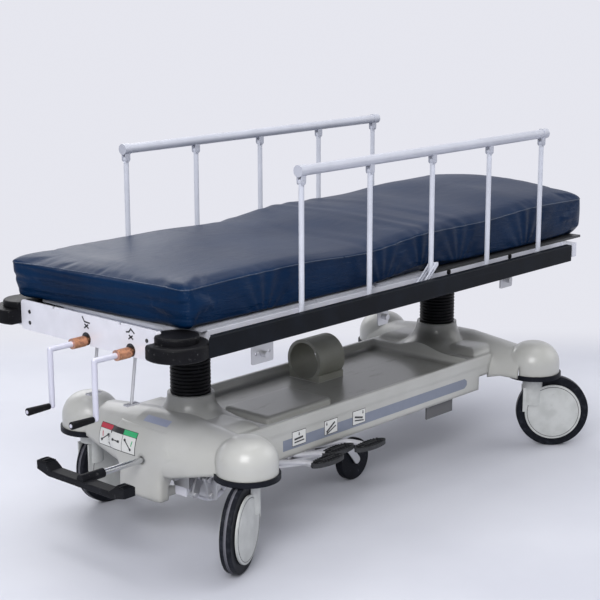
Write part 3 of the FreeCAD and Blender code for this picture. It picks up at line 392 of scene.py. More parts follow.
# %% Rubber
def rubber(name, color, scuff, rough, chalk=(0.32, 0.32, 0.33), along=(1.0, 1.0, 1.0)):
    """Rubber with soft clouds, and scuff marks and specks in a chalky colour."""
    made = Finish(name, color, rough=rough, specular=0.12)
    cloud = made.noise(16, 4)
    marks = made.noise(48, 5, 0.7, made.stretch(*along)).ramp(0.60, 0.76) * scuff
    specks = made.noise(210, 3, 0.6).ramp(0.66, 0.76) * scuff
    tone = made.mix(cloud.ramp(0.3, 0.7), toned(color, 0.75), toned(color, 1.35))
    made.set("Base Color", made.mix(marks * 0.45 + specks * 0.5, tone, chalk))
    made.set("Roughness", rough + cloud * 0.12 - marks * 0.1)
    made.bump(made.noise(500, 3) * 0.6 + marks * 0.4, 0.0006, 0.5)
    return made


bumper_rubber = rubber("worn bumper rubber", (0.0045, 0.0045, 0.006), 0.7, 0.42)
strip_rubber = rubber("bumper strip rubber", (0.004, 0.0055, 0.009), 0.25, 0.45, (0.08, 0.09, 0.11),
                      (0.04, 1, 3))
ring_rubber = rubber("dome ring rubber", (0.006, 0.007, 0.011), 0.6, 0.40, (0.16, 0.18, 0.24))
tyre_rubber = rubber("tyre rubber", (0.007, 0.008, 0.012), 0.8, 0.45, (0.24, 0.25, 0.30))
bellows_rubber = rubber("bellows rubber", (0.004, 0.004, 0.005), 0.12, 0.38)
grip_rubber = rubber("grip rubber", (0.005, 0.005, 0.006), 0.3, 0.3)
pedal_rubber = rubber("pedal rubber", (0.008, 0.0085, 0.011), 0.45, 0.5)
wheel_plastic = Finish("wheel disc plastic", (0.50, 0.51, 0.50), rough=0.38)
drift = wheel_plastic.noise(20, 4)
grime_and_painted_shade = wheel_plastic.noise(60, 4, 0.7).ramp(0.6, 0.8) + wheel_plastic.z.ramp(0.07, 0.0) * 0.5
tone = wheel_plastic.mix(drift.ramp(0.3, 0.7), (0.46, 0.47, 0.46), (0.56, 0.57, 0.56))
wheel_plastic.set("Base Color", wheel_plastic.mix(grime_and_painted_shade * 0.4, tone, (0.25, 0.24, 0.22)))
wheel_plastic.set("Roughness", 0.34 + drift * 0.15)
wheel_plastic.bump(wheel_plastic.noise(600, 2), 0.0004, 0.4)
print("rubber finishes")

# %% [markdown]
# The pump pedals are bent steel arms that end in black ribbed rubber pads. The pad is an ellipse
# seen from above, so the finish turns to rubber inside that ellipse and stays steel outside.


# %% Pump pedals
def pump_finish(name, along, across):
    """The ellipse is where u * u + v * v is 1, with u and v the distances as shares of its radii."""
    made = Finish(name, (0.6, 0.6, 0.62), rough=0.3, metal=1.0)
    u = (made.x - station(along + 168)) / 0.0715
    v = (made.y - (across - 300) / 1000) / 0.0255
    pad = (u * u + v * v).ramp(1.03, 0.99)
    haze = made.noise(30, 4)
    dirt = made.noise(120, 4, 0.7).ramp(0.55, 0.8)
    black = made.mix(dirt * 0.5, (0.022, 0.023, 0.026), (0.14, 0.14, 0.145))
    made.set("Base Color", made.mix(pad, made.mix(haze, (0.48, 0.47, 0.47), (0.66, 0.66, 0.68)), black))
    made.set("Metallic", 1 - pad)
    made.set("Roughness", 0.28 + haze * 0.15 + pad * 0.3)
    made.bump(made.noise(500, 3), 0.0004, 0.5)
    return made


pump_finishes = {
    "pump_pedal_foot": pump_finish("foot pump pedal", PUMPS["foot"], 0),
    "pump_pedal_middle": pump_finish("middle pump pedal", PUMPS["middle"], 42),
    "pump_pedal_head": pump_finish("head pump pedal", PUMPS["head"], 0),
}
print(len(pump_finishes), "pump pedal finishes")

# %% [markdown]
# Every rigid piece now gets its finish. A dictionary from the start of a name to a finish keeps the
# list short, because forks and spindles come in sets. The caster wheels get theirs further down.

# %% Finishes on the rigid pieces
DRESS = {
    "hood": hood_paint, "dome_rings": ring_rubber, "chassis": chassis_paint, "jack_cylinders": chassis_paint,
    "bottle_tunnel": tunnel_paint, "brake_linkage": zinc, "foot_ram": bright_steel, "head_ram": bright_steel,
    "litter_frame": frame_paint, "foot_bar": bar_paint, "bumper_strips": strip_rubber,
    "corner_bumpers": bumper_rubber, "crank_grip": grip_rubber, "crank_": crank_finish,
    "siderail": rail_steel, "spindle": upright_steel, "rail_pivots": zinc, "rail_latch": upright_steel,
    "side_brackets": zinc, "foot_hooks": zinc, "brake_pedal_shaft": bright_steel, "brake_pedal": pedal_rubber,
    "steering_arm": zinc, "steering_wheel": tyre_rubber, "caster_fork": wheel_plastic,
    "seat_panel": pale_panel, "back_panel": painted_shade_board,
    "thigh_panel": pale_panel, "calf_panel": pale_panel, **pump_finishes,
}
for name, piece in nodes.items():
    found = next((finish for start, finish in DRESS.items() if name.startswith(start)), None)
    if found:
        piece.data.materials.clear()
        piece.data.materials.append(found.material)
print(sum(1 for piece in nodes.values() if piece.data.materials), "pieces dressed")

# %% [markdown]
# New pieces are grids of points: a shape is a function of two parameters, worked out for the whole
# grid at once. For a closed shape the grid's last column is joined to its first and its two ends are
# filled. The grid then becomes a mesh whose faces look outwards, and the piece rides on the body that
# carries it.


# %% Mesh helpers
def add_mesh(name, points, faces, finish, smooth=40):
    """A mesh object at the origin, from points in metres, with faces turned outwards."""
    mesh = bpy.data.meshes.new(name)
    mesh.from_pydata(np.asarray(points, float).tolist(), [], [list(map(int, f)) for f in faces])
    tidy = bmesh.new()
    tidy.from_mesh(mesh)
    bmesh.ops.remove_doubles(tidy, verts=tidy.verts, dist=1e-6)
    bmesh.ops.recalc_face_normals(tidy, faces=tidy.faces)
    tidy.to_mesh(mesh)
    tidy.free()
    mesh.shade_smooth()
    mesh.set_sharp_from_angle(angle=math.radians(smooth))
    if finish:
        mesh.materials.append(finish.material)
    return placed(name, mesh)


def applied(item, kind, **settings):
    """The item gets a modifier of a kind with these settings, which is applied at once."""
    modifier = item.modifiers.new("step", kind)
    for key, value in settings.items():
        setattr(modifier, key, value)
    bpy.context.view_layer.objects.active = item
    bpy.ops.object.modifier_apply(modifier=modifier.name)


def carried(item, body):
    """The item rides on a body."""
    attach(item, body)


def grid_faces(rows, columns, closed=False):
    """Quads of a grid of rows by columns. A closed one wraps round its columns and has polygon ends."""
    i, j = np.meshgrid(np.arange(rows - 1), np.arange(columns if closed else columns - 1), indexing="ij")
    k = (j + 1) % columns
    quads = np.stack([i * columns + j, i * columns + k, (i + 1) * columns + k, (i + 1) * columns + j], -1)
    faces = quads.reshape(-1, 4).tolist()
    if closed:
        faces.append(np.arange(columns)[::-1].tolist())
        faces.append((np.arange(columns) + (rows - 1) * columns).tolist())
    return faces


def turned(profile, place, axis, count):
    """A lathe shape: each profile point is (radius, distance along the axis), turned about the axis."""
    profile = np.asarray(profile, float)
    axis = np.asarray(axis, float) / np.linalg.norm(axis)
    side = np.cross(axis, [0.0, 0.0, 1.0] if abs(axis[2]) < 0.9 else [1.0, 0.0, 0.0])
    side /= np.linalg.norm(side)
    other = np.cross(axis, side)
    angle = np.linspace(0, 2 * np.pi, count, endpoint=False)
    ring = np.cos(angle)[:, None] * side + np.sin(angle)[:, None] * other
    points = place + profile[:, 1, None, None] * axis + profile[:, 0, None, None] * ring[None]
    return points.reshape(-1, 3), grid_faces(len(profile), count, True)


def along_path(path, radius, count, flat=1.0):
    """A tube: circles, or ovals of flat times the height, stand square to the path at its points."""
    ahead = np.gradient(path, axis=0)
    ahead /= np.linalg.norm(ahead, axis=1)[:, None]
    hint = np.where(np.abs(ahead[:, 2:3]) > 0.9, [[1.0, 0.0, 0.0]], [[0.0, 0.0, 1.0]])
    side = np.cross(ahead, hint)
    side /= np.linalg.norm(side, axis=1)[:, None]
    other = np.cross(ahead, side)
    angle = np.linspace(0, 2 * np.pi, count, endpoint=False)
    radius = np.broadcast_to(np.asarray(radius, float), len(path))[:, None, None]
    points = path[:, None] + radius * (np.cos(angle)[None, :, None] * side[:, None]
                                       + np.sin(angle)[None, :, None] * other[:, None] * flat)
    return points.reshape(-1, 3), grid_faces(len(points), count, True)


def smoothed(corners):
    """A smooth path of 40 points in metres, from the first to the last of some points in mm: between
    the points b and c, with a before and d after them, it is a cubic in t that starts along c - a."""
    ends = np.array([mm(*corner) for corner in corners])
    ends = np.concatenate([2 * ends[:1] - ends[1:2], ends, 2 * ends[-1:] - ends[-2:-1]])
    t = np.linspace(0, len(ends) - 3, 40, endpoint=False)
    i = np.minimum(t.astype(int), len(ends) - 4)
    t = (t - i)[:, None]
    a, b, c, d = (ends[i + k] for k in range(4))
    bend, twist = 2 * a - 5 * b + 4 * c - d, 3 * b - a - 3 * c + d
    return 0.5 * (2 * b + (c - a) * t + bend * t ** 2 + twist * t ** 3)


def merged(parts):
    """Several (points, faces) shapes as one."""
    points, faces, start = [], [], 0
    for some, quads in parts:
        points.append(np.asarray(some, float))
        faces += [[int(v) + start for v in face] for face in quads]
        start += len(some)
    return np.concatenate(points), faces


def plate(corners, place, right, up, thick, round_by):
    """A flat polygon in mm at a place, spread over two directions and thick. Each corner is rounded by
    a curve (1 - t)^2 a + 2 t (1 - t) corner + t^2 b between the points a and b on its two edges."""
    corners = np.asarray(corners, float)
    right, up = (np.asarray(d, float) / np.linalg.norm(d) for d in (right, up))
    out = np.cross(right, up)
    before, after = np.roll(corners, 1, 0) - corners, np.roll(corners, -1, 0) - corners
    before /= np.linalg.norm(before, axis=1)[:, None]
    after /= np.linalg.norm(after, axis=1)[:, None]
    t = np.linspace(0, 1, 5)[None, :, None]
    a, b = (corners + before * round_by)[:, None], (corners + after * round_by)[:, None]
    corners = ((1 - t) ** 2 * a + 2 * t * (1 - t) * corners[:, None] + t ** 2 * b).reshape(-1, 2)
    flat = place + corners[:, :1] / 1000 * right + corners[:, 1:] / 1000 * up
    rows = np.stack([flat, flat + out * thick])
    return rows.reshape(-1, 3), grid_faces(2, len(flat), True)


print("mesh helpers ready")

# %% [markdown]
# The mattress is one foam slab in a welded vinyl cover. The vinyl is a deep navy blue. Its top is
# painted paler as a painted sheen, and scuffed by use, its sides are crossed by long creases, and the
# corners at the foot end are chalky where they rub. Each of these is a noise, kept to its place by the
# direction that the surface faces or by its distance from the middle.

# %% Mattress cover finish
cover = Finish("navy vinyl cover", (0.001, 0.013, 0.045), rough=0.36, specular=0.12)
cloud = cover.noise(5, 5, 0.6)
creases = cover.noise(9, 4, 0.6, cover.stretch(1.0, 1.0, 7.0), 0.6)
folds = cover.noise(30, 4, 0.6, cover.stretch(0.35, 1.0, 1.0), 1.2)
top = cover.nz.ramp(0.55, 0.95)
scuffed = cover.noise(22, 5, 0.7, cover.stretch(1.0, 0.35, 1.0)).ramp(0.56, 0.80) * top
tone = cover.mix(cloud.ramp(0.3, 0.7), (0.0004, 0.0105, 0.038), (0.0008, 0.0165, 0.056))
# Painted sheen: where the cover faces up it is mixed towards a paler grey-blue, for the glossy reflection on
# the top.
tone = cover.mix(top * 0.6, tone, (0.016, 0.026, 0.056))
tone = cover.mix(scuffed * 0.4, tone, (0.13, 0.14, 0.18))
ends = abs(cover.y).ramp(0.320, 0.346) * cover.x.ramp(-0.800, -0.829)
chalky = ends * cover.noise(140, 4, 0.7).ramp(0.5, 0.7)
cover.set("Base Color", cover.mix(chalky * 0.35, tone, (0.30, 0.34, 0.40)))
cover.set("Roughness", 0.27 + cloud * 0.12 + scuffed * 0.22 + top * 0.08)
cover.bump(creases * (1 - top) * 0.7 + folds * 0.25 + cover.noise(900, 2) * 0.03, 0.006, 0.8)
print("cover finish")

# %% [markdown]
# The form starts as a closed box of rounded rectangles along X, a little thinner than the real slab.
# A voxel remesh gives it even faces, which cloth needs. A short cloth simulation then pumps it up, so
# that the cover swells between its corners and wrinkles a little, as the real one does. No point may
# move more than a cap, so the cover keeps its size whatever the pressure does.


# %% Mattress form
def slab(x0, x1, half, z0, z1, corner, edge):
    """A rounded box along X: each section is a rounded rectangle, and sections shrink near the ends
    along a quarter circle, which rounds the corners seen from above."""
    stations, round_steps = 120, 64
    t = np.linspace(-1, 1, stations)
    x = (x0 + x1) / 2 + (x1 - x0) / 2 * np.sign(t) * (1 - (1 - np.abs(t)) ** 1.5)
    depth = np.clip(corner - np.minimum(x - x0, x1 - x), 0, corner)
    shrink = corner - np.sqrt(np.maximum(corner ** 2 - depth ** 2, 0))
    angle = np.linspace(0, 2 * np.pi, round_steps, endpoint=False)
    c, s = np.cos(angle), np.sin(angle)
    y = np.sign(c) * np.minimum(np.abs(c) * 1.6, 1) ** 0.9
    z = np.sign(s) * np.minimum(np.abs(s) * 1.6, 1) ** 0.9
    tall = (z1 - z0) / 2 - shrink * edge
    points = np.stack([
        np.broadcast_to(x[:, None], (stations, round_steps)),
        (half - shrink)[:, None] * y[None],
        (z0 + z1) / 2 + tall[:, None] * z[None],
    ], -1)
    return points.reshape(-1, 3), grid_faces(stations, round_steps, True)


def swell(item, cap, voxel=0.008, pressure=4.0, frames=20):
    """Voxel remesh, then cloth with inner pressure and no gravity; no point moves more than the cap."""
    applied(item, "REMESH", mode="VOXEL", voxel_size=voxel)
    count = len(item.data.vertices)
    before = np.empty(count * 3, np.float32)
    item.data.vertices.foreach_get("co", before)
    cloth = item.modifiers.new("cloth", "CLOTH")
    cloth.settings.use_pressure = True
    cloth.settings.uniform_pressure_force = pressure
    cloth.settings.effector_weights.gravity = 0
    cloth.settings.quality = 3
    cloth.settings.tension_stiffness = cloth.settings.compression_stiffness = 15
    cloth.settings.bending_stiffness = 2
    cloth.collision_settings.use_collision = False
    cloth.point_cache.frame_start, cloth.point_cache.frame_end = 1, frames
    for step in range(1, frames + 1):
        scene.frame_set(step)
    swollen = item.evaluated_get(bpy.context.evaluated_depsgraph_get())
    after = np.empty(count * 3, np.float32)
    swollen.data.vertices.foreach_get("co", after)
    item.modifiers.remove(cloth)
    scene.frame_set(1)
    move = (after - before).reshape(-1, 3)
    length = np.linalg.norm(move, axis=1)[:, None]
    move *= np.minimum(1, cap / np.maximum(length, 1e-9))
    item.data.vertices.foreach_set("co", (before.reshape(-1, 3) + move).ravel())
    item.data.update()
    return float(length.max())


bottom, crown, half_width = 0.7150, 0.8443, 0.345
points, faces = slab(station(-962), station(1000), half_width, bottom + 0.002, crown - 0.007, 0.028, 0.12)
mattress = add_mesh("mattress", points, faces, cover, 60)
print("largest swelling before the cap", round(swell(mattress, 0.010), 4))
print(len(mattress.data.vertices), "points in the mattress")

# %% [markdown]
# A used mattress isn't straight. Its head part is fuller and crowned, the head end curls up off the
# deck, the foot end sags in its middle and stands a little askew. A few heights, given along the
# length, say how far the upper and lower edges stray. Between them the change is smooth. Then
# come the creases: long soft ones across the foot face, and fans of short ones in the side walls.


# %% Shape of the used mattress
def between(x, places, heights):
    """Smooth change between picked heights: with t from 0 to 1 on each stretch, t * t * (3 - 2 t)."""
    places, heights = station(np.array(places)), np.array(heights) / 1000
    index = np.clip(np.searchsorted(places, x) - 1, 0, len(places) - 2)
    t = np.clip((x - places[index]) / (places[index + 1] - places[index]), 0, 1)
    return heights[index] + (heights[index + 1] - heights[index]) * t * t * (3 - 2 * t)


count = len(mattress.data.vertices)
place = np.empty(count * 3, np.float32)
mattress.data.vertices.foreach_get("co", place)
x, y, z = place.reshape(-1, 3).T.astype(float)
high = np.clip((z - bottom) / (crown - bottom), 0, 1)
across = np.clip(np.abs(y) / half_width, 0, 1)
side = np.clip((np.abs(y) - 0.30) / 0.03, 0, 1)
foot = np.clip((station(-900) - x) / 0.05, 0, 1)

EDGE = ([-960, -700, -500, -200, 105, 400, 700, 980], [-8, -3, -2, -14, 6, 4, 15, 10])
upper = between(x, *EDGE)
lower = between(x, [-960, -500, -200, 105, 300, 700, 860, 985], [4, 2, 0, 22, 8, 4, 8, 26]) * side
middle = between(x, [-960, -860, -400, 100, 420, 700, 900, 985], [-10, 2, 6, 10, 22, 34, 40, 34])
puff = middle * (1 - across ** 2.4) + 0.004 * (y > 0) * across
z = z + high ** 1.5 * (upper + puff) + (1 - high) * lower

waves = np.sin(high * 21 + np.sin(y * 9) * 1.1) * 0.0024 + np.sin(high * 37 + y * 14) * 0.0012
x = x - foot * (0.018 * high + (0.024 + 0.008 * high) * y / half_width + waves * np.sin(np.pi * high))
fans = np.zeros(count)
for centre, spread in ((-120, 0.10), (60, 0.13), (260, 0.10), (640, 0.14), (-640, 0.12)):
    gap = x - station(centre)
    angle = np.arctan2(gap, 0.03 + high * 0.12)
    fans += np.sin(angle * 14 + centre) * np.exp(-((gap / spread) ** 2))
y = y - np.sign(y) * side * (fans * 0.0018 - 0.003 * np.sin(np.pi * high))
face_up = np.clip((high - 0.9) / 0.1, 0, 1)
ripple = np.sin(x * 5.1 + y * 3) * 0.0030 + np.sin(y * 16 + np.sin(x * 7) * 1.6) * 0.0016
gaps = [x - station(at) for at in (-150, 60, 130, 250)]
across_fold = sum(np.sin(gap * 60) * np.exp(-((gap / 0.05) ** 2)) for gap in gaps) * 0.0022 * across ** 0.5
z = np.maximum(z + face_up * (ripple + across_fold), bottom)
WIDEST = 0.3565  # no bulge of the side walls may pass this half width
y = np.clip(y, -WIDEST, WIDEST)
mattress.data.vertices.foreach_set("co", np.stack([x, y, z], 1).astype(np.float32).ravel())
mattress.data.update()
applied(mattress, "SUBSURF", levels=1, render_levels=1)
print(len(mattress.data.polygons), "faces after smoothing")

# %% [markdown]
# A mattress on a folding deck bends at the knee, the thigh and the back. The slab is cut across in
# two places that stay straight, into three pieces, and the table names the two bodies that meet in
# each piece.

# %% Mattress pieces over the hinges
cuts = [station(-1100), station(-300), station(-60), station(1100)]
PARTS = {
    "mattress_calf_cover": (0, "thigh", "calf", mm(-371, 0, HINGES), mm(-491, 0, HINGES), ["mattress_calf"]),
    "mattress_seat_cover": (1, "litter", "thigh", mm(-96, 0, HINGES), mm(-212, 0, HINGES),
                            ["mattress_thigh", "mattress_fold_thigh", "mattress_seat"]),
    "mattress_back_cover": (2, "litter", "back", mm(-36, 0, HINGES), mm(240, 0, HINGES),
                            ["mattress_fold_back", "mattress_back"]),
}


def sliced(item, name, low, high):
    """A copy of a closed mesh between two planes across X, with its cut ends closed."""
    work = bmesh.new()
    work.from_mesh(item.data)
    for place, side in ((low, -1), (high, 1)):
        geometry = work.verts[:] + work.edges[:] + work.faces[:]
        bmesh.ops.bisect_plane(work, geom=geometry, plane_co=(place, 0, 0), plane_no=(side, 0, 0),
                               clear_outer=True)
    rim = [edge for edge in work.edges if edge.is_boundary]
    bmesh.ops.holes_fill(work, edges=rim, sides=0)
    bmesh.ops.recalc_face_normals(work, faces=work.faces)
    mesh = bpy.data.meshes.new(name)
    work.to_mesh(mesh)
    work.free()
    mesh.shade_smooth()
    mesh.set_sharp_from_angle(angle=math.radians(60))
    mesh.materials.append(item.data.materials[0])
    return placed(name, mesh)


surface = BVHTree.FromObject(mattress, bpy.context.evaluated_depsgraph_get())
pieces = {name: sliced(mattress, name, cuts[part[0]], cuts[part[0] + 1]) for name, part in PARTS.items()}
print({name: len(piece.data.polygons) for name, piece in pieces.items()})

# %% [markdown]
# A welded seam runs round the cover just below its upper edge, and its ridge is rubbed pale here and
# there. The swollen cover has no simple formula, so the path is found by looking inwards from
# outside, all round, at the height of the seam. A thin tube follows it.

# %% Welded seam along the upper edge
seam_finish = Finish("seam vinyl", (0.010, 0.030, 0.075), rough=0.42)
wear = seam_finish.noise(160, 4, 0.7).ramp(0.52, 0.72)
seam_finish.set("Base Color", seam_finish.mix(wear * 0.25, (0.009, 0.026, 0.066), (0.30, 0.33, 0.38)))
seam_finish.set("Roughness", 0.35 + wear * 0.2)
seam_finish.bump(seam_finish.noise(500, 2), 0.0004, 0.5)


def seam_path(drop):
    """Points round the mattress a drop below its upper edge, found by looking inwards from outside."""
    turn = np.linspace(0, 2 * np.pi, 900, endpoint=False)
    centre = (station(-945) + station(982)) / 2
    c, s = np.cos(turn), np.sin(turn)
    far = np.minimum(1.1 / np.maximum(np.abs(c), 1e-6), 0.5 / np.maximum(np.abs(s), 1e-6))
    x, y = centre + c * far, s * far
    levels = crown - drop + between(x, *EDGE)
    aim_x = np.clip(x, centre - 0.94, centre + 0.94)
    aim_y = np.where(np.abs(y) > 0.49, 0.0, y * 0.65)
    starts, aims = np.stack([x, y, levels], 1), np.stack([aim_x, aim_y, levels], 1)
    hits = [surface.ray_cast(Vector(a), Vector(b - a).normalized())[0] for a, b in zip(starts, aims)]
    return np.array([tuple(hit) for hit in hits if hit])


ring = seam_path(0.013)
print(len(ring), "points on the seam")
seams = {}
for name, part in PARTS.items():
    low, high = cuts[part[0]], cuts[part[0] + 1]
    inside = (ring[:, 0] >= low) & (ring[:, 0] <= high)
    order = np.roll(np.arange(len(ring)), -int(np.argmax(~inside)))
    kept = order[inside[order]]
    runs = np.split(kept, np.flatnonzero(np.diff(kept) % len(ring) != 1) + 1)
    shapes = [along_path(ring[run], 0.0017, 8) for run in runs if len(run) > 3]
    points, faces = merged(shapes)
    seams[name] = add_mesh(name.replace("cover", "seam"), points, faces, seam_finish, 60)

for name, (_, first, second, start, end, replaced) in PARTS.items():
    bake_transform(pieces[name])
    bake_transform(seams[name])
    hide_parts(*replaced)
bpy.data.objects.remove(mattress)
print("mattress in", len(pieces), "pieces")

# %% [markdown]
# A rubber bellows closes the gap between the base and the litter on each jack. Its wall is a lathe
# profile: a row of rounded folds, wide at the crests and narrow in the valleys, with a flat lip at
# each end. The foot bellows sits between the base and the lift. The head bellows has a plain sleeve
# below its folds that reaches down and hides in the collar.


# %% Bellows
COLLAR_TOP, LITTER_UNDER = 0.4153, 0.6077  # where the folds start and end
FOLDS = 17
CREST, VALLEY, WALL, LIP = 0.0612, 0.0572, 0.0495, 0.0515  # radii


def bellows(name, jack, sleeve=0.0):
    """A lathe profile whose radius is valley + (crest - valley) * sin^0.55, once for each fold. A plain
    sleeve hangs below it into the collar, if one is asked for."""
    t = np.linspace(0, 1, FOLDS * 12 + 1)
    wave = np.abs(np.sin(np.pi * FOLDS * t)) ** 0.55
    z = COLLAR_TOP + (LITTER_UNDER - COLLAR_TOP) * t
    outer = np.stack([VALLEY + (CREST - VALLEY) * wave, z], 1)
    inner = np.stack([np.full(len(z), WALL), z[::-1]], 1)
    foot = COLLAR_TOP - sleeve
    lips = np.array([[WALL, foot], [LIP, foot], [LIP, COLLAR_TOP], [VALLEY + 0.003, COLLAR_TOP]])
    roof = np.array([[VALLEY + 0.003, LITTER_UNDER], [WALL, LITTER_UNDER]])
    profile = np.concatenate([lips, outer, roof, inner[1:-1], lips[:1]])
    points, faces = turned(profile, np.array([station(jack), 0.0, 0.0]), (0, 0, 1), 72)
    return add_mesh(name, points, faces[:-2], bellows_rubber, 50)


foot_gaiter = bellows("foot_bellows_folds", FOOT_JACK)
head_gaiter = bellows("head_bellows_folds", HEAD_JACK, sleeve=0.13)
for gaiter, jack, low_body, high_body, replaced in (
    (foot_gaiter, FOOT_JACK, "base", "lift", "foot_bellows"),
    (head_gaiter, HEAD_JACK, "lift", "head_lift", "head_bellows"),
):
    tuple(mm(jack, 0, 415))
    tuple(mm(jack, 0, 608))
    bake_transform(gaiter)
    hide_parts(replaced)
print("two bellows of", len(foot_gaiter.data.polygons), "faces")

# %% [markdown]
# The nose of the hood comes down between the foot casters as a wide apron with rounded upright
# corners. It is a stack of rounded sections: each is a superellipse whose half width and depth change
# with the height, so that the apron grows out of the round pod. The hole for the pedal shaft and the
# hollow inside are cut out afterwards, which leaves it open behind.


# %% Nose of the hood
def sections(heights, halves, faces_at, back, power=0.34):
    """Rounded sections at given heights. With c and s the cosine and sine round a section, a point is
    half the depth times c^power along from the section's middle, and half the width times s^power
    across."""
    count = 72
    angle = np.linspace(0, 2 * np.pi, count, endpoint=False)
    c, s = np.cos(angle), np.sin(angle)
    depth = (np.asarray(faces_at) - back)[:, None] / 2
    centre = (np.asarray(faces_at) + back)[:, None] / 2
    x = centre + depth * np.sign(c) * np.abs(c) ** power
    y = np.asarray(halves)[:, None] * np.sign(s) * np.abs(s) ** power
    z = np.broadcast_to(np.asarray(heights)[:, None], x.shape)
    points = np.stack([station(x), y / 1000, z / 1000], -1)
    return points.reshape(-1, 3), grid_faces(len(heights), count, True)


def carved(item, *tools):
    """The item with closed tool shapes cut out of it."""
    for tool in tools:
        applied(item, "BOOLEAN", operation="DIFFERENCE", solver="EXACT", object=tool)
        bpy.data.objects.remove(tool)
    item.data.shade_smooth()
    item.data.set_sharp_from_angle(angle=math.radians(42))


rise = np.concatenate([130 + 12 * (1 - np.cos(np.linspace(0, np.pi / 2, 8))), np.linspace(150, 340, 40)])
round_in = 10 * (1 - np.sqrt(np.clip(1 - ((142 - rise) / 12).clip(0, 1) ** 2, 0, 1)))
wide = 90 + 62 * np.clip((rise - 185) / 90, 0, 1) ** 1.8 - 40 * np.clip((rise - 275) / 65, 0, 1) - round_in
reach = 697 + np.where(rise > 262, np.sqrt(np.clip(112 ** 2 - (rise - 262) ** 2, 0, None)), 112) - round_in
behind = -712 - 50 * np.clip((235 - rise) / 60, 0, 1)
sideways = [0, 0.018, 0]
points, faces = sections(rise, wide, -reach, behind)
nose = add_mesh("hood_nose", points + sideways, faces, hood_paint, 42)
points, faces = sections([120, 255], [83, 83], [-802, -802], -700.0, 0.3)
hollow = add_mesh("hollow", points + sideways, faces, None)
shaft_hole = [(0.0135, station(-860)), (0.0135, station(-780))]
bore = add_mesh("bore", *turned(shaft_hole, np.array([0, 0, 0.250]), (1, 0, 0), 32), None)
carved(nose, hollow, bore)
carried(nose, "base")
print("nose of", len(nose.data.polygons), "faces")

# %% [markdown]
# The signs are thin printed films. Each is laid out flat, as four corners in mm, and then pressed
# onto the piece behind it: every point of its grid travels along one direction until it meets the
# surface, and stops just in front of it. Only pictures of the movement are printed, without words.


# %% Films pressed on a surface
def film_finish(name, color):
    """A printed film that has faded unevenly and is scratched to grey in places."""
    made = Finish(name, color, coat=0.2)
    fade = made.noise(35, 4)
    scratch = made.noise(190, 4, 0.7, made.stretch(0.4, 1, 1)).ramp(0.62, 0.72)
    tone = made.mix(fade, toned(color, 0.9), toned(color, 1.08))
    made.set("Base Color", made.mix(scratch * 0.3, tone, (0.42, 0.42, 0.42)))
    made.set("Roughness", 0.35 + scratch * 0.3)
    made.bump(made.noise(600, 2) + scratch * -0.5, 0.0002, 0.4)
    return made


FILM = {
    "white": film_finish("white film", (0.72, 0.72, 0.70)),
    "black": film_finish("black film", (0.012, 0.012, 0.014)),
    "blue": film_finish("grey-blue film", (0.20, 0.225, 0.29)),
    "red": film_finish("red film", (0.50, 0.03, 0.06)),
    "green": film_finish("green film", (0.03, 0.42, 0.16)),
    "lilac": film_finish("lilac film", (0.30, 0.33, 0.44)),
}
depsgraph = bpy.context.evaluated_depsgraph_get()


def pressed(corners, look, onto, lift, fine=9.0):
    """A film between four corners in mm, moved along a direction onto surfaces, as a thin closed slab."""
    a, b, c, d = (mm(*corner) for corner in corners)
    rows, columns = (max(2, int(np.linalg.norm(v) * 1000 / fine) + 2) for v in (d - a, b - a))
    v, u = np.meshgrid(np.linspace(0, 1, rows), np.linspace(0, 1, columns), indexing="ij")
    v, u = v[..., None], u[..., None]
    flat = ((1 - v) * ((1 - u) * a + u * b) + v * ((1 - u) * d + u * c)).reshape(-1, 3)
    look = Vector(look).normalized()
    hits = []
    for point in flat:
        found = [tree.ray_cast(Vector(point) - look * 0.3, look, 0.7) for tree in onto]
        near = min((hit for hit in found if hit[0]), key=lambda hit: hit[3], default=None)
        hits.append(tuple(near[0]) if near else tuple(point))
    hits, push = np.array(hits), np.array(look)
    faces = grid_faces(rows, columns)
    back = [[i + len(hits) for i in face[::-1]] for face in faces]
    rim = np.concatenate([np.arange(columns), np.arange(2, rows + 1) * columns - 1,
                          np.arange(columns - 2, -1, -1) + (rows - 1) * columns,
                          np.arange(rows - 2, 0, -1) * columns]).tolist()
    sides = [[p, q, q + len(hits), p + len(hits)] for p, q in zip(rim, rim[1:] + rim[:1])]
    return np.concatenate([hits - push * lift, hits + push * 0.0001]), faces + back + sides


class Sign:
    """A flat sign on a surface, drawn with coloured quads given in its own 0 to 1 coordinates."""

    def __init__(self, name, corners, look, onto, body):
        self.name, self.corners, self.look = name, np.array(corners, float), look
        self.onto, self.body, self.layers = onto, body, {}

    def spot(self, u, v):
        """The point in mm at u across and v down the sign."""
        a, b, c, d = self.corners
        return (1 - v) * ((1 - u) * a + u * b) + v * ((1 - u) * d + u * c)

    def quad(self, color, points, lift):
        """A patch between four points, which stands off the surface by the lift in metres."""
        shape = pressed([self.spot(*p) for p in points], self.look, self.onto, lift)
        self.layers.setdefault(color, []).append(shape)

    def block(self, color, u0, v0, u1, v1, lift=0.0004):
        self.quad(color, ((u0, v0), (u1, v0), (u1, v1), (u0, v1)), lift)

    def bar(self, color, u0, v0, u1, v1, thick, lift):
        """A stroke between two points; its thickness is a share of the sign's height."""
        wide, tall = (np.linalg.norm(self.corners[k] - self.corners[0]) for k in (1, 3))
        along = np.array([(u1 - u0) * wide, (v1 - v0) * tall])
        side = np.array([-along[1], along[0]]) / np.linalg.norm(along) * thick * tall / 2
        du, dv = side[0] / wide, side[1] / tall
        self.quad(color, ((u0 + du, v0 + dv), (u1 + du, v1 + dv), (u1 - du, v1 - dv), (u0 - du, v0 - dv)),
                  lift)

    def make(self):
        for color, shapes in self.layers.items():
            carried(add_mesh(f"{self.name}_{color}", *merged(shapes), FILM[color], 30), self.body)


def tree_of(item):
    return BVHTree.FromObject(item, depsgraph)


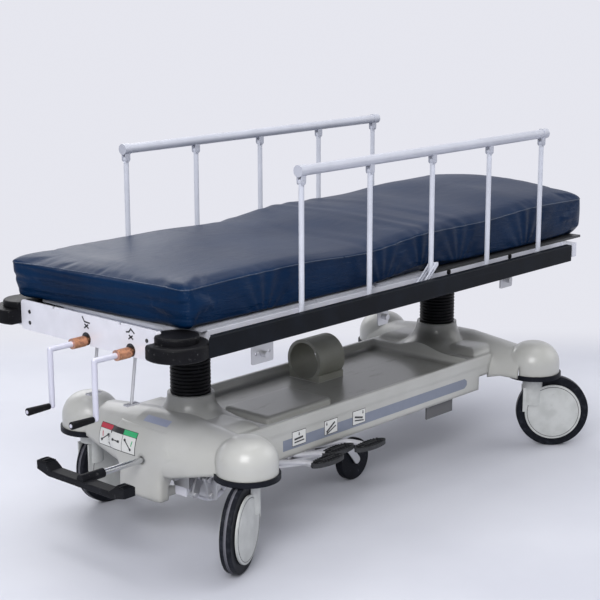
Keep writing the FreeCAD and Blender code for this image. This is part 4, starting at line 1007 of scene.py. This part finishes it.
hood_trees = [tree_of(nodes["hood"]), tree_of(nose)]
print(len(FILM), "film colours")

# %% [markdown]
# A grey-blue stripe with a pointed end runs along the near side of the hood, and three white labels
# with pictures of the litter level, head up and head down stand on it over the pump pedals. On the
# nose, a placard in red, black and green shows the pedal braked, free and steering.

# %% Signs on the hood
def upright_film(name, start, end, top, low):
    """A sign on the near side of the hood, between two places along and two heights in mm."""
    corners = [(x, SKIRT_FACE, z) for x, z in ((start, top), (end, top), (end, low), (start, low))]
    return Sign(name, corners, (0, 1, 0), hood_trees[:1], "base")


stripe = upright_film("side_stripe", -447, 478, 268, 234)
stripe.quad("blue", ((0, 0), (0.985, 0), (0.985, 1), (0, 1)), 0.0003)
stripe.quad("blue", ((0.985, 0), (1.0, 0.28), (1.0, 0.72), (0.985, 1)), 0.0003)
stripe.make()
LABELS = (("level", -376, 0.0, 0.5), ("head_up", -230, 0.34, 0.18), ("head_down", -96, -0.16, 0.8))
for name, along, tilt, mark in LABELS:
    sign = upright_film(f"label_{name}", along - 31, along + 31, 286, 240)
    sign.block("black", 0, 0, 1, 1, 0.0006)
    sign.block("white", 0.025, 0.035, 0.975, 0.965, 0.0009)
    sign.bar("black", 0.16, 0.55 + tilt * 0.75, 0.78, 0.50 - tilt * 0.75, 0.13, 0.0012)
    sign.bar("black", 0.16, 0.76 + tilt * 0.5, 0.86, 0.72 - tilt * 0.6, 0.09, 0.0012)
    sign.bar("black", mark, 0.12, mark, 0.30, 0.07, 0.0012)
    sign.quad("black", ((mark - 0.06, 0.24), (mark + 0.06, 0.24), (mark + 0.01, 0.36), (mark - 0.01, 0.36)),
              0.0012)
    sign.make()
placard = Sign("brake_placard", [(-830, 206, 331), (-830, 30, 331), (-830, 30, 262), (-830, 206, 262)],
               (1, 0, -0.25), hood_trees, "base")
placard.block("black", -0.008, 0.0, 1.008, 1.02, 0.0005)
for column, color in enumerate(("red", "black", "green")):
    u = column / 3
    placard.block(color, u + 0.004, 0.02, u + 0.33, 0.24, 0.0008)
    placard.block("white", u + 0.006, 0.26, u + 0.328, 0.985, 0.0008)
for stroke in ((0.06, 0.80, 0.27, 0.45), (0.40, 0.60, 0.60, 0.62), (0.72, 0.42, 0.90, 0.85)):
    placard.bar("black", *stroke, 0.05, 0.0012)
placard.bar("red", 0.09, 0.38, 0.11, 0.62, 0.05, 0.0012)
placard.bar("green", 0.92, 0.42, 0.90, 0.66, 0.05, 0.0012)
for stroke in ((0.06, 0.80, 0.10, 0.74), (0.27, 0.45, 0.23, 0.51), (0.40, 0.60, 0.45, 0.605),
               (0.60, 0.62, 0.55, 0.615), (0.72, 0.42, 0.75, 0.49), (0.90, 0.85, 0.87, 0.78)):
    placard.bar("black", *stroke, 0.11, 0.0013)
placard.make()
sticker = Sign("nose_sticker", [(-741, 40, 420), (-741, -62, 420), (-763, -62, 420), (-763, 40, 420)],
               (0, 0, -1), hood_trees, "base")
sticker.block("lilac", 0, 0, 1, 1)
sticker.make()
print("stripe, three labels, placard and sticker")

# %% [markdown]
# Little pictures over the crank holes show what each crank lifts. Four dark round screws hold the
# foot bar, and each crank leaves it through a dark round hole. Dark plugs close the holes in the
# sides of the frame.

# %% Signs and screws on the foot bar
bar_trees = [tree_of(nodes["foot_bar"])]
for name, lines in (
    ("back", ((0.1, 0.0, 0.35, 0.42), (0.3, 0.40, 0.95, 0.46),
              (0.3, 0.95, 0.75, 0.6), (0.35, 0.6, 0.8, 0.92))),
    ("knee", ((0.05, 0.42, 0.4, 0.36), (0.35, 0.38, 0.6, 0.05), (0.55, 0.08, 0.95, 0.42),
              (0.3, 0.95, 0.75, 0.62), (0.35, 0.62, 0.8, 0.92))),
):
    far, near = CRANKS[name] + 19, CRANKS[name] - 19
    corners = [(BAR_FACE - 12, y, z) for y, z in ((far, 712), (near, 712), (near, 678), (far, 678))]
    sign = Sign(f"crank_sign_{name}", corners, (1, 0, 0), bar_trees, "litter")
    for line in lines:
        sign.bar("black", *line, 0.13, 0.0004)
    sign.make()
head = [(0.0, 0.0), (0.0052, 0.0), (0.0058, 0.0004), (0.0058, 0.0012), (0.0046, 0.0020), (0.0, 0.0022)]
screws = [turned(head, mm(BAR_FACE, across, height), (-1, 0, 0), 20)
          for across in (-250, 250) for height in (655, 687)]
carried(add_mesh("foot_bar_screws", *merged(screws), FILM["black"], 30), "litter")
disc = [(0.0, -0.0004), (0.0185, -0.0004), (0.0185, 0.0004), (0.0, 0.0004)]
holes = [turned(disc, mm(BAR_FACE, across, 650), (-1, 0, 0), 40) for across in CRANKS.values()]
carried(add_mesh("crank_holes", *merged(holes), FILM["black"], 30), "litter")
button = [(0.0, 0.0), (0.0095, 0.0), (0.0095, 0.0016), (0.0070, 0.0028), (0.0, 0.0030)]
plugs = [turned(button, mm(along, side * 348, 701), (0, side, 0), 28)
         for along in (195, 533) for side in (-1, 1)]
carried(add_mesh("frame_plugs", *merged(plugs), grip_rubber, 30), "litter")
print("screws", len(screws), "plugs", len(plugs))

# %% [markdown]
# Feet grip the pedals by their ribs. The pump pads have fine ribs along the ellipse of the pad, and
# the raised ends of the brake pedal have coarser ribs.

# %% Ribs on the pedals
def strip(x0, x1, y, thick, height, onto, lift, fine=9.0):
    """A rib along X, thick to both sides of y in mm, dropped onto the pedal below it."""
    low, high = y - thick, y + thick
    corners = [(x, across, height) for x, across in ((x0, low), (x1, low), (x1, high), (x0, high))]
    return pressed(corners, (0, 0, -1), onto, lift, fine)


PAD = (66, 21)  # the half length and half width of a pump pad's ribbed ellipse
RIB_PITCH = 4.6
for name, across in (("foot", -300), ("middle", -258), ("head", -300)):
    tree, centre, ribs = [tree_of(nodes[f"pump_pedal_{name}"])], PUMPS[name] + 168, []
    for offset in np.arange(-PAD[1] + RIB_PITCH, PAD[1], RIB_PITCH):
        half = PAD[0] * math.sqrt(max(0.0, 1 - (offset / PAD[1]) ** 2)) * 0.93
        ribs.append(strip(centre - half, centre + half, across + offset, 0.9, 262, tree, 0.0012, 14.0))
    carried(add_mesh(f"pump_ribs_{name}", *merged(ribs), pedal_rubber, 30), f"pump_{name}")
tree = [tree_of(nodes["brake_pedal"])]
for name, across in (("near", -168), ("far", 168)):
    ribs = [strip(-1040, -1002, across + step, 2, 300, tree, 0.0016) for step in (-14, -7, 0, 7, 14)]
    carried(add_mesh(f"brake_ribs_{name}", *merged(ribs), pedal_rubber, 30), "brake_bar")
print("ribs on five pedal pads")

# %% [markdown]
# The arms of the pump pedals are broad bent bars. Each is swept as an oval along a smooth path from
# its hub to its pad. Behind the nose hang three small levers of the brake in front of a plate, with a
# white bracket beside them, and a white tube that links the foot casters passes under them.

# %% Pedal arms, levers and link tube
arm_steel = enamel("silver enamel pedal arm", (0.50, 0.50, 0.54), 0.30)
ARM_PATHS = {
    "foot": ((0, -206, 212), (32, -222, 205), (72, -240, 200), (103, -264, 197), (113, -292, 196)),
    "middle": ((0, -206, 212), (32, -219, 205), (72, -228, 200), (100, -240, 197), (113, -256, 196)),
    "head": ((0, -203, 212), (50, -206, 204), (118, -214, 200), (150, -240, 197), (160, -290, 196)),
}
for name, along in PUMPS.items():
    path = smoothed([(along + x, y, z) for x, y, z in ARM_PATHS[name]])
    shape = along_path(path, np.linspace(0.0135, 0.0115, len(path)), 20, flat=0.62)
    carried(add_mesh(f"pump_arm_{name}", *shape, arm_steel), f"pump_{name}")
LINK = ((-650, 40, 190), (-652, 0, 158), (-655, -60, 120), (-645, -112, 116), (-628, -146, 140),
        (-620, -158, 186))
tube = add_mesh("brake_link_tube", *along_path(smoothed(LINK), 0.0075, 16), bar_paint)
pin = [(0, -0.012), (0.0075, -0.012), (0.0085, -0.011), (0.0085, 0.011), (0, 0.011)]
levers = []
for across, turn in ((-118, 18), (-142, -24), (-176, 12)):
    top, lean = mm(-716, across, 208), math.radians(turn)
    down = np.array([math.sin(lean), 0, -math.cos(lean)])
    shape = [(-14, -12), (14, -12), (11, 62), (-11, 62)]
    levers.append(plate(shape, top, np.cross([0, 1, 0], down), down, 0.007, 8))
    levers += [turned(pin, top + down * drop, (0, 1, 0), 20) for drop in (0.0, 0.052)]
shape = [(-52, -34), (52, -34), (52, 30), (-52, 30)]
levers.append(plate(shape, mm(-700, -150, 180), (0, -1, 0), (0, 0, 1), 0.004, 6))
shape = [(-24, -26), (24, -26), (24, 26), (-24, 26)]
bracket = add_mesh("brake_bracket", *merged([
    plate(shape, mm(-730, -84, 168), (0, -1, 0), (0, 0, 1), 0.004, 5),
    turned([(0, -0.0065), (0.006, -0.0065), (0.006, 0), (0, 0)], mm(-730, -90, 172), (1, 0, 0), 24),
]), bar_paint)
lever = add_mesh("brake_levers", *merged(levers), zinc)
for piece in (tube, lever, bracket):
    carried(piece, "base")
print("three pedal arms, tube, levers and bracket")

# %% [markdown]
# Each caster has smooth crowned covers on both cheeks of its fork. A fine dark line runs round each
# cover just inside its edge. The tyre is black with a grey groove round its middle, and the finish
# finds that groove by the distance from the middle plane of the wheel.

# %% Covers and tyres of the casters
CASTERS = {"near_foot": (-714, -338, 205), "far_foot": (-714, 338, 1), "near_head": (714, -338, -49),
           "far_head": (714, 338, 49)}
CROWN = [(0.0, 0.0305), (0.03, 0.0302), (0.06, 0.0291), (0.083, 0.0275), (0.093, 0.0266), (0.0958, 0.0256),
         (0.0962, 0.0215), (0.0, 0.0215)]
LINE = [(0.0885, 0.0274), (0.0900, 0.0276), (0.0903, 0.0266), (0.0888, 0.0264)]
TRAIL, AXLE = 69, 125  # from the swivel to the axle, and the axle's height, in mm
ROUND = 72  # the points round a cover


def looped(profile, place, axis):
    """A lathe ring: the last circle of the profile is joined to the first instead of closing both."""
    points, faces = turned(profile, place, axis, ROUND)
    last = (len(profile) - 1) * ROUND
    faces = faces[:-2] + [[k + last, (k + 1) % ROUND + last, (k + 1) % ROUND, k] for k in range(ROUND)]
    return points, faces


for name, (along, across, turn) in CASTERS.items():
    c, s = math.cos(math.radians(turn)), math.sin(math.radians(turn))
    centre, out = mm(along + TRAIL * c, across + TRAIL * s, AXLE), np.array([-s, c, 0.0])
    covers = [turned(CROWN, centre, out * side, ROUND) for side in (-1, 1)]
    lines = [looped(LINE, centre, out * side) for side in (-1, 1)]
    for piece in (add_mesh(f"caster_covers_{name}", *merged(covers), wheel_plastic, 35),
                  add_mesh(f"caster_lines_{name}", *merged(lines), FILM["black"], 60)):
        carried(piece, f"fork_{name}")
    tyre = rubber(f"tyre of the {name} caster".replace("_", " "), (0.007, 0.008, 0.012), 0.8, 0.45)
    off = abs((tyre.x - float(centre[0])) * float(-s) + (tyre.y - float(centre[1])) * float(c))
    groove = off.ramp(0.0042, 0.0034)
    worn = tyre.noise(60, 3)
    tread = tyre.mix(worn.ramp(0.45, 0.8) * 0.25, (0.006, 0.007, 0.011), (0.07, 0.075, 0.095))
    tyre.set("Base Color", tyre.mix(groove, tread, tyre.mix(worn, (0.12, 0.12, 0.14), (0.22, 0.22, 0.25))))
    wheel = nodes[f"caster_wheel_{name}"]
    wheel.data.materials.clear()
    wheel.data.materials.append(tyre.material)
print("covers on", len(CASTERS), "casters")
